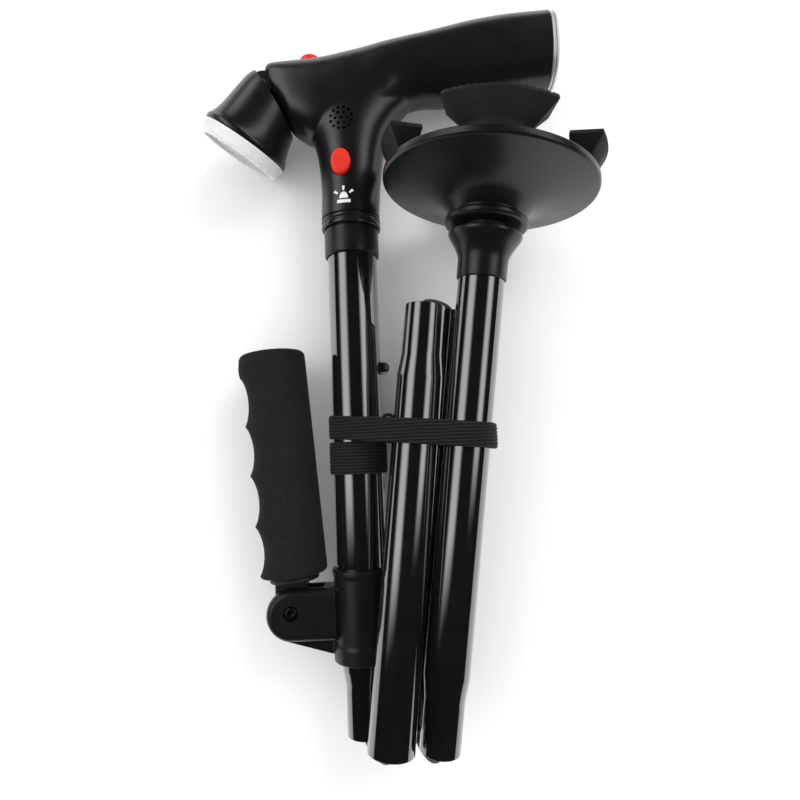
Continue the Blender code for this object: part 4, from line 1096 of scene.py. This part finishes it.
def finger_reach(along):
    """The foam's reach on its finger side, -X."""
    reach = 14.5
    # channel start, end and depth
    channels = ((17.8, 38.8, 2.9), (38.8, 60.6, 2.9), (60.6, 82.0, 2.8), (82.0, 103.4, 2.5))
    for low, high, deep in channels:
        if low < along < high:
            reach -= deep * (1 - (2 * (along - low) / (high - low) - 1) ** 2) ** 0.8
    return reach + 0.6 * exp(-(((along - 106.5) / 3.2) ** 2))


def foam_section(along):
    end = min(along - GRIP_BOTTOM, GRIP_TOP - along)
    soft = 2.6 if GRIP_TOP - along < along - GRIP_BOTTOM else 2.0  # end rounding radius
    shrink = soft * (1 - sqrt(max(0.0, 1 - (1 - min(1.0, end / soft)) ** 2)))
    back_r, side_r, front_r = 14.4 - shrink, 14.0 - shrink, 14.6 - shrink
    deep = 14.6 - finger_reach(along)
    row = []
    for i in range(96):
        c, s = cos(tau * i / 96), sin(tau * i / 96)
        # the finger channels fade out round the sides
        x = back_r * c if c > 0 else front_r * c
        if c < 0:
            x += deep * (-c) ** 0.7
        row.append((x, side_r * s, along))
    return row


core_profile = [
    (0, 104.0), (5.4, 104.0), (6.2, 102.5), (6.6, 16.4), (10.4, 16.2), (10.6, 14.4),
    (9.6, 14.0), (0, 14.0),
]
core = revolve("grip_core_stem", soften(core_profile, 0.5), GRIP_AT, 72)
carve(core, [grip_tongue()], "UNION")
carve(core, [cross_rod(PIVOT_BORE_R, GRIP_PIVOT, 20, 40)])
show(core, SATIN_INNER, "side_grip", "grip_core", 35)
foam_levels = np.linspace(GRIP_BOTTOM, GRIP_TOP, 300)
foam = loft("foam_grip_pad", [foam_section(along) for along in foam_levels], GRIP_AT)
foam_bore = [(0, 106.0), (6.9, 104.5), (6.95, 10.0), (0, 10.0)]
carve(foam, [revolve("bore", foam_bore, GRIP_AT, 48)])
show(foam, FOAM, "side_grip", "foam_grip", 60)

# ------------------------------------------------- lower tubes
length = (SECOND_TOP - SECOND_BOTTOM).length
second_outer = [
    (NECK_R, length), (NECK_R, length - NECK_LEN), (TUBE_R, length - NECK_LEN - NECK_CONE),
    (TUBE_R, 0),
]
second_at = place(SECOND_BOTTOM, SECOND_UP)
second = necked_tube("second_tube_paint", second_outer, (-0.4, -0.4), second_at)
show(second, GLOSS, "second", "second_tube", 40)
third = tube(
    "third_tube_paint", TUBE_R, TUBE_R - TUBE_WALL, THIRD_BOTTOM, THIRD_TOP, 128, 0.35
)
show(third, GLOSS, "third", "third_tube", 40)
fourth_outer = [
    (TUBE_R, (FOURTH_REF - FOURTH_BOTTOM).length + FOURTH_OVER),
    (TUBE_R, NECK_LEN + NECK_CONE), (NECK_R, NECK_LEN), (NECK_R, 0),
]
fourth_at = place(FOURTH_BOTTOM, FOURTH_UP)
fourth = necked_tube("fourth_tube_paint", fourth_outer, (0.4, 0.4), fourth_at)
show(fourth, GLOSS, "fourth", "fourth_tube", 40)

# ------------------------------------------------- cord plugs in the tube mouths
plugs = (
    (SECOND_BOTTOM, SECOND_UP, 8.3), (THIRD_TOP, -THIRD_UP, 8.3), (FOURTH_BOTTOM, FOURTH_UP, 7.2),
)
for n, (mouth, inward, radius) in enumerate(plugs, 1):
    profile = [(radius, 6.0), (radius, 0.0), (3.6, 0.0), (2.5, 1.1), (2.4, 6.0)]
    plug_at = place(mouth + inward * 1.2, inward)
    plug = revolve(f"cord_plug_{n}", soften(profile, 0.5, 4), plug_at, 72)
    show(plug, SATIN_INNER, f"joint_{n}", f"cord_guide_{n}", 40)


# ------------------------------------------------- elastic cords
def cord_path(start, start_out, end, end_out, reach):
    """A loop out of one mouth and into the next, in steps of about 0.35 mm."""
    path = [start - start_out * 6.0, start - start_out * 3.0]
    for i in range(41):
        turn = pi * i / 40
        share = (1 - cos(turn)) / 2
        out = start_out.lerp(end_out, share).normalized()
        path.append(start + (end - start) * share + out * (1.0 + reach * sin(turn)))
    path += [end - end_out * 4.0, end - end_out * 8.2]
    fine = []
    for here, after in zip(path, path[1:]):
        steps = max(1, round((after - here).length / 0.35))
        fine += [here.lerp(after, k / steps) for k in range(steps)]
    return fine + [path[-1]]


def cord(n, start, start_out, end, end_out, reach):
    """A braided loop: counter-wound strands give the cord its uneven outline."""
    path = cord_path(start, start_out, end, end_out, reach)
    hint = (end - start).cross(start_out).normalized()
    sections, walked = [], 0.0
    for i, point in enumerate(path):
        before, after = path[max(i - 1, 0)], path[min(i + 1, len(path) - 1)]
        z = (after - before).normalized()
        y = (hint - hint.dot(z) * z).normalized()
        x = y.cross(z)
        if i:
            walked += (point - path[i - 1]).length
        row = []
        for k in range(20):
            turn = tau * k / 20
            weave = sin(4 * turn + walked * 2.6) * sin(4 * turn - walked * 2.6)
            r = 1.45 + 0.13 * weave
            row.append(tuple(point + x * (r * cos(turn)) + y * (r * sin(turn))))
        sections.append(row)
    obj = loft(f"shock_cord_{n}", sections)
    dress(obj, BRAID, 60)
    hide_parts(f"elastic_cord_{n}")
    obj.matrix_world = TO_FRAME
    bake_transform(obj)


inner_tip = Vector((0, 0, INNER_TIP))
cord(1, inner_tip, Vector((0, 0, -1)), SECOND_BOTTOM, -SECOND_UP, reach=4.5)
cord(2, SECOND_TOP, SECOND_UP, THIRD_TOP, THIRD_UP, reach=1.6)
cord(3, THIRD_BOTTOM, -THIRD_UP, FOURTH_BOTTOM, -FOURTH_UP, reach=6.5)

# ------------------------------------------------- base
boot_in = TUBE_R + 0.12
boot_profile = [
    (14.3, 25.2), (14.95, 24.9), (15.15, 24.3), (15.0, 23.4), (14.2, 21.9), (13.2, 20.5),
    (12.3, 19.1), (11.5, 17.7), (10.9, 16.3), (10.4, 14.9), (10.25, 13.5), (10.2, 6.6),
    (10.0, 6.0), (boot_in, 6.0), (boot_in, 21.7), (6.0, 21.7), (6.0, 23.4), (8.0, 23.6),
    (12.5, 24.2),
]
boot = revolve("boot_cuff", soften(boot_profile, 0.35), place(FOURTH_REF, FOURTH_UP), 128)
show(boot, BOOT, "fourth", "boot_ferrule", 45)

# the base turns about the ball, which is local zero; the disc lies RISE above it
BASE_AT = place(FOURTH_REF + FOURTH_UP * BALL_LEVEL, (FOURTH_UP + BASE_TILT).normalized())
RISE = BASE_LEVEL - BALL_LEVEL


def raised(profile):
    return [(r, RISE + z) for r, z in profile]


def disc_profile():
    top = [
        (0, 1.0), (38.0, 1.0), (38.4, 0.6), (41.6, 0.6), (42.0, 1.0), (BASE_R - 0.7, 0.9),
        (BASE_R, 0.4), (BASE_R, -1.6), (BASE_R - 0.3, -2.2),
    ]
    under = raised([
        (BASE_R - 0.8, -2.6), (36.0, -4.0), (27.0, -6.2), (20.0, -9.4), (16.6, -12.6),
        (15.3, -14.2),
    ])
    walk = np.concatenate([[0], np.cumsum([dist(a, b) for a, b in zip(under, under[1:])])])
    at = np.linspace(0, walk[-1], 40)
    curve = zip(*(pchip(walk, values, at) for values in zip(*under)))
    collar = [
        (15.25, -14.7), (15.6, -15.3), (16.9, -15.8), (17.15, -16.2), (17.15, -17.2),
        (16.9, -17.9), (16.0, -18.6), (9.6, -18.6),
    ]
    ball_seat = [
        (9.6, -0.4), (9.6, 0.0), (9.5, 1.4), (9.2, 3.0), (8.5, 4.6), (7.6, 6.0), (6.3, 7.3),
        (4.6, 8.4), (2.4, 9.3), (0, 9.7),
    ]
    return raised(top) + list(curve) + raised(collar) + ball_seat


# height over the disc, near radius, far radius, half width
PAD_ROWS = [
    (0.3, 30.6, 41.0, 13.6), (1.7, 31.2, 41.1, 12.9), (3.0, 31.4, 41.3, 12.6),
    (3.8, 30.8, 41.6, 13.2), (PAD_TOP - 1.6, 27.0, 46.0, 20.7), (PAD_TOP, 27.4, 45.7, 20.3),
]
PAD_GROOVE_PITCH, PAD_GROOVE_HALF, PAD_GROOVE_DEEP = 2.5, 0.42, 0.4


def foot_pad(name, turn):
    face = RISE + 1.0
    c, s = cos(turn), sin(turn)
    rows = []
    for up, near_r, far_r, half in PAD_ROWS:
        row = []
        for i in range(25):
            y = half * (1 - i / 12)
            row.append((far_r - 5.6 * (y / half) ** 2, y))
        for i in range(9):
            y = -half + half * 2 * i / 8
            row.append((near_r + 0.8 + 2.2 * (1 - (y / half) ** 2), y * 0.9))
        rows.append([(x * c - y * s, x * s + y * c, face + up) for x, y in row])
    pad = loft(f"rubber_foot_{name}", rows, BASE_AT)
    low, high = face + PAD_TOP - PAD_GROOVE_DEEP, RISE + 2.0 + PAD_TOP
    pad_at = BASE_AT @ Matrix.Rotation(turn, 4, "Z")
    grooves = []
    for k in range(-7, 8):
        y = k * PAD_GROOVE_PITCH
        near, far = (20.0, y - PAD_GROOVE_HALF, low), (60.0, y + PAD_GROOVE_HALF, high)
        grooves.append(block(near, far, pad_at))
    carve(pad, grooves)
    edge = pad.modifiers.new("edge", "BEVEL")
    edge.width, edge.segments = 0.14 * MM, 2
    edge.limit_method, edge.angle_limit = "ANGLE", radians(30)
    edge.use_clamp_overlap = True
    show(settle(pad), RUBBER, "base", f"foot_pad_{name}", 28)


disc = revolve("base_plate", soften(disc_profile()), BASE_AT, 192)
show(disc, DISC, "base", "base_disc", 40)
plug_profile = raised([
    (0, 3.2), (3.0, 3.18), (6.0, 3.1), (8.2, 2.9), (9.6, 2.2), (10.0, 1.3), (0, 1.3),
])
base_plug = revolve("base_plug", soften(plug_profile, 0.4), BASE_AT, 96)
show(base_plug, RUBBER, "base", "base_cap", 40)
for n, name in enumerate(("right", "far", "left", "near")):
    foot_pad(name, radians(90 * n - 4.5))


# ------------------------------------------------- strap
def hull(points):
    points = sorted(points)

    def half(seq):
        out = []
        for x, y in seq:
            while len(out) > 1:
                (ax, ay), (bx, by) = out[-2:]
                if (bx - ax) * (y - ay) - (by - ay) * (x - ax) > 0:
                    break
                out.pop()
            out.append((x, y))
        return out[:-1]

    return half(points) + half(points[::-1])


def strap_height(x):
    share = (x - STRAP_LEFT[0]) / (STRAP_RIGHT[0] - STRAP_LEFT[0])
    return STRAP_LEFT[1] + share * (STRAP_RIGHT[1] - STRAP_LEFT[1])


def strap_path(off):
    """The (x, y) outline pulled tight round the four tubes, `off` from their skins."""
    points = []
    for bottom, up, radius in (
        (Vector((0, 0, 0)), Vector((0, 0, 1)), UPPER_R), (SECOND_BOTTOM, SECOND_UP, TUBE_R),
        (THIRD_BOTTOM, THIRD_UP, TUBE_R), (FOURTH_BOTTOM, FOURTH_UP, TUBE_R),
    ):
        for z in (-STRAP_HALF, STRAP_HALF):
            level = strap_height((bottom + up * 130).x) + z
            centre = bottom + up * ((level - bottom.z) / up.z)
            for i in range(64):
                x = centre.x + (radius + off) * cos(tau * i / 64)
                y = centre.y + (radius + off) * sin(tau * i / 64)
                points.append((round(x, 6), round(y, 6)))
    return hull(points)


def resample(path, count):
    """Evenly spaced points round a closed path."""
    closed = path + path[:1]
    steps = [dist(a, b) for a, b in zip(closed, closed[1:])]
    total = sum(steps)
    out, walked, i = [], 0.0, 0
    for n in range(count):
        want = total * n / count
        while walked + steps[i] < want:
            walked += steps[i]
            i += 1
        share = (want - walked) / steps[i]
        here, after = closed[i], closed[i + 1]
        out.append(tuple(here[k] + share * (after[k] - here[k]) for k in (0, 1)))
    return out


def strap_section(path, i):
    """Two points on the tubes' side, then the corded outer face from top to bottom."""
    x, y = path[i]
    before, after = path[i - 3], path[(i + 3) % len(path)]
    along = Vector((after[0] - before[0], after[1] - before[1])).normalized()
    wander = (0.12 * sin(i * 0.11) + 0.07 * sin(i * 0.37 + 1.0)) * 0.3
    picks = 0.05 * sin(i * pi * 0.5)

    def point(off, up):
        return (x + along.y * off, y - along.x * off, strap_height(x) + up)

    edge_z = STRAP_HALF - 0.25
    row = [point(0.0, -edge_z + wander), point(0.0, edge_z + wander)]
    for k in range(43):
        share = k / 42
        ridge = abs(sin(pi * 7 * share))
        edge = min(1.0, min(share, 1 - share) * 9)
        off = 0.25 + (0.62 + 0.36 * ridge) * (0.35 + 0.65 * edge) + picks * ridge
        row.append(point(off, (STRAP_HALF - 0.02) * (1 - 2 * share) + wander))
    return row


def show_folding(obj, node, angle):
    """Shows a piece of the strap and gives it a mesh of its own."""
    show(obj, WEB, "handle", node, angle)
    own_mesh(obj)


def sewn_end():
    """The sewn end of the strap, folded over above the band."""
    # x, z
    path = refine([
        (10.4, 131.0), (10.9, 133.6), (11.6, 135.6), (12.7, 136.8), (14.1, 137.0),
        (15.6, 136.3), (16.6, 134.6), (17.0, 131.4),
    ], 60)
    rows = []
    for i, (x, z) in enumerate(path):
        before, after = path[max(i - 1, 0)], path[min(i + 1, len(path) - 1)]
        along = Vector((after[0] - before[0], 0, after[1] - before[1])).normalized()
        row = []
        for k in range(24):
            c, s = cos(tau * k / 24), sin(tau * k / 24)
            wide = copysign(abs(c) ** 0.35, c) * 1.5
            thick = copysign(abs(s) ** 0.7, s) * (0.62 + 0.05 * sin(i * 1.9))
            row.append((x - along.z * thick, -13.4 + wide, z + along.x * thick))
        rows.append(row)
    return loft("strap_sewn_end", rows)


def keeper_loop():
    profile = []
    for k in range(61):
        share = k / 60
        edge = min(1.0, min(share, 1 - share) * 12)
        ridge = 0.3 + 0.42 * abs(sin(pi * 9 * share))
        profile.append((11.95 + ridge * (0.4 + 0.6 * edge), 126.4 - 13.8 * share))
    profile += [(UPPER_R + 0.15, 112.8), (UPPER_R + 0.15, 126.2)]

    def picks(turn, r, z):
        return r + (0.03 * sin(120 * turn) if r > 11.6 else 0.0)

    return revolve("strap_keeper_loop", profile, steps=240, wave=picks)


strap_line = resample(strap_path(0.5), 420)
strap_rows = [strap_section(strap_line, i) for i in range(len(strap_line))]
show_folding(loft("elastic_strap", strap_rows, loop=True), "strap_band", 50)
show_folding(sewn_end(), None, 60)
show(keeper_loop(), WEB, "handle", "strap_keeper", 50)

# ------------------------------------------------- the CAD nodes that stay
# every other visible node is SATIN_INNER
KEPT = {
    "control_board": BOARD, "led_board": BOARD, "led_chip": PHOSPHOR, "lamp_pin": STEEL,
    "snap_spring": STEEL, "pivot_washer": STEEL, "swivel_ball": STEEL,
}
for name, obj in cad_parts.items():
    if obj.hide_render:
        continue
    material = KEPT.get(name, SATIN_INNER)
    if not obj.material_slots:
        obj.data.materials.append(material)
    for slot in obj.material_slots:
        slot.material = material


# ------------------------------------------------- backdrop, metres
def floor_paper():
    """Pale paper that the camera sees through from its rear face."""
    paper = Finish("floor_paper", colour=(0.9, 0.905, 0.91), rough=0.8, Specular_IOR_Level=0.1)
    paper.tones(paper.noise(scale=6.0), (0.898, 0.9, 0.9), (0.915, 0.917, 0.917))
    paper.bump(paper.noise(scale=900.0), deep=0.00002, strength=0.3)
    clear = paper.node("ShaderNodeBsdfTransparent")
    rear = paper.node("ShaderNodeNewGeometry").outputs["Backfacing"]
    camera_ray = paper.node("ShaderNodeLightPath").outputs["Is Camera Ray"]
    inputs = {
        0: paper.calc("MULTIPLY", rear, camera_ray),
        1: paper.body.outputs[0],
        2: clear.outputs[0],
    }
    joined = paper.node("ShaderNodeMixShader", inputs)
    paper.set(paper.tree.nodes["Material Output"], "Surface", joined.outputs[0])
    return paper.made


# an upright sheet just behind the product
wall_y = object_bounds()[1].y + 0.0006
mesh = bpy.data.meshes.new("floor")
corners = [(-2.5, -2.2), (2.5, -2.2), (2.5, 2.5), (-2.5, 2.5)]
mesh.from_pydata([(x, wall_y, z) for x, z in corners], [], [(0, 1, 2, 3)])
floor = bpy.data.objects.new("floor", mesh)
scene.collection.objects.link(floor)
dress(floor, floor_paper())
floor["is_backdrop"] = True

# ------------------------------------------------- world
# Reflections see two bright windows on black; the camera and all other rays see even white.
REFLECTED_WINDOW, REFLECTED_DARK, PLAIN_LIGHT, SEEN_WHITE = 2.1, 0.003, 1.04, 1.0
world = bpy.data.worlds.new("studio")
scene.world = world
world.use_nodes = True
world.node_tree.nodes.clear()
sky = Graph(world.node_tree)


def edge_step(value, centre, soft):
    """Rises from 0 to 1 across `centre`, in degrees."""
    inputs = {
        "Value": value,
        "From Min": radians(centre - soft),
        "From Max": radians(centre + soft),
    }
    made = sky.node("ShaderNodeMapRange", inputs, interpolation_type="SMOOTHSTEP")
    return made.outputs["Result"]


def angle_band(value, low, high, soft):
    rising = edge_step(value, low, soft)
    return sky.calc("MULTIPLY", rising, sky.calc("SUBTRACT", 1.0, edge_step(value, high, soft)))


generated = sky.node("ShaderNodeTexCoord").outputs["Generated"]
direction = sky.node("ShaderNodeSeparateXYZ", {"Vector": generated}).outputs
azimuth = sky.calc("ARCTAN2", direction["X"], sky.calc("MULTIPLY", direction["Y"], -1.0))
height = sky.calc("ARCSINE", direction["Z"])


def window(low, high, soft, bright):
    """A soft rectangle of light between two azimuths, in degrees."""
    sideways = angle_band(azimuth, low, high, soft)
    upright = angle_band(height, low=-11, high=62, soft=6)
    return sky.calc("MULTIPLY", sky.calc("MULTIPLY", sideways, upright), bright)


left_window = window(low=-62, high=-30, soft=9, bright=1.0)
right_window = window(low=34, high=58, soft=8, bright=1.0)
windows = sky.calc("ADD", left_window, right_window)
ray = sky.node("ShaderNodeLightPath").outputs
glossy = sky.calc("ADD", sky.calc("MULTIPLY", windows, REFLECTED_WINDOW), REFLECTED_DARK)
strength = sky.calc(
    "ADD",
    sky.calc("MULTIPLY", ray["Is Glossy Ray"], glossy),
    sky.calc("MULTIPLY", sky.calc("SUBTRACT", 1.0, ray["Is Glossy Ray"]), PLAIN_LIGHT),
)
camera_part = sky.calc("MULTIPLY", ray["Is Camera Ray"], SEEN_WHITE)
not_camera = sky.calc("SUBTRACT", 1.0, ray["Is Camera Ray"])
total = sky.calc("ADD", camera_part, sky.calc("MULTIPLY", not_camera, strength))
inputs = {"Color": (1.0, 1.0, 1.0, 1.0), "Strength": total}
background = sky.node("ShaderNodeBackground", inputs)
sky.node("ShaderNodeOutputWorld", {"Surface": background.outputs[0]})


# ------------------------------------------------- lights and camera, metres
def area(name, at, width, height, power):
    """A panel aimed at the product's middle, hidden from reflections."""
    data = bpy.data.lights.new(name, "AREA")
    data.shape = "RECTANGLE"
    data.size, data.size_y, data.energy = width, height, power
    obj = bpy.data.objects.new(name, data)
    scene.collection.objects.link(obj)
    obj.location = Vector(at) - ORIGIN * MM
    aim = Vector((0.02, 0.0, 0.16)) - Vector(at)
    obj.rotation_euler = aim.to_track_quat("-Z", "Y").to_euler()
    obj.visible_glossy = False


area("key", at=(0.75, -0.85, 0.95), width=0.7, height=0.7, power=7.0)
area("fill", at=(-0.8, -0.9, 0.35), width=0.8, height=0.9, power=2.5)

# The frame's axes as the camera sees them. Up comes from the top and bottom of an upright
# line in camera space, mm, and Y is the view direction squared to it.
line_top, line_bottom = Vector((-21.41, 59.51, -270.5)), Vector((-13.49, -144.21, -253.0))
frame_z = (line_top - line_bottom).normalized()
away = Vector((0, 0, -1))
frame_y = (away - away.dot(frame_z) * frame_z).normalized()
frame_x = frame_y.cross(frame_z)
camera_turn = Matrix((frame_x, frame_y, frame_z)).to_4x4()
camera_at = Vector((0.01909, -0.26435, 0.12141)) - ORIGIN * MM
camera_data = bpy.data.cameras.new("camera")
camera_data.lens, camera_data.sensor_width, camera_data.clip_start = 27.0, 36.0, 0.01
camera = bpy.data.objects.new("camera", camera_data)
scene.collection.objects.link(camera)
camera.matrix_world = Matrix.Translation(camera_at) @ camera_turn
scene.camera = camera
scene.view_settings.view_transform = "Standard"

low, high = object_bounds()
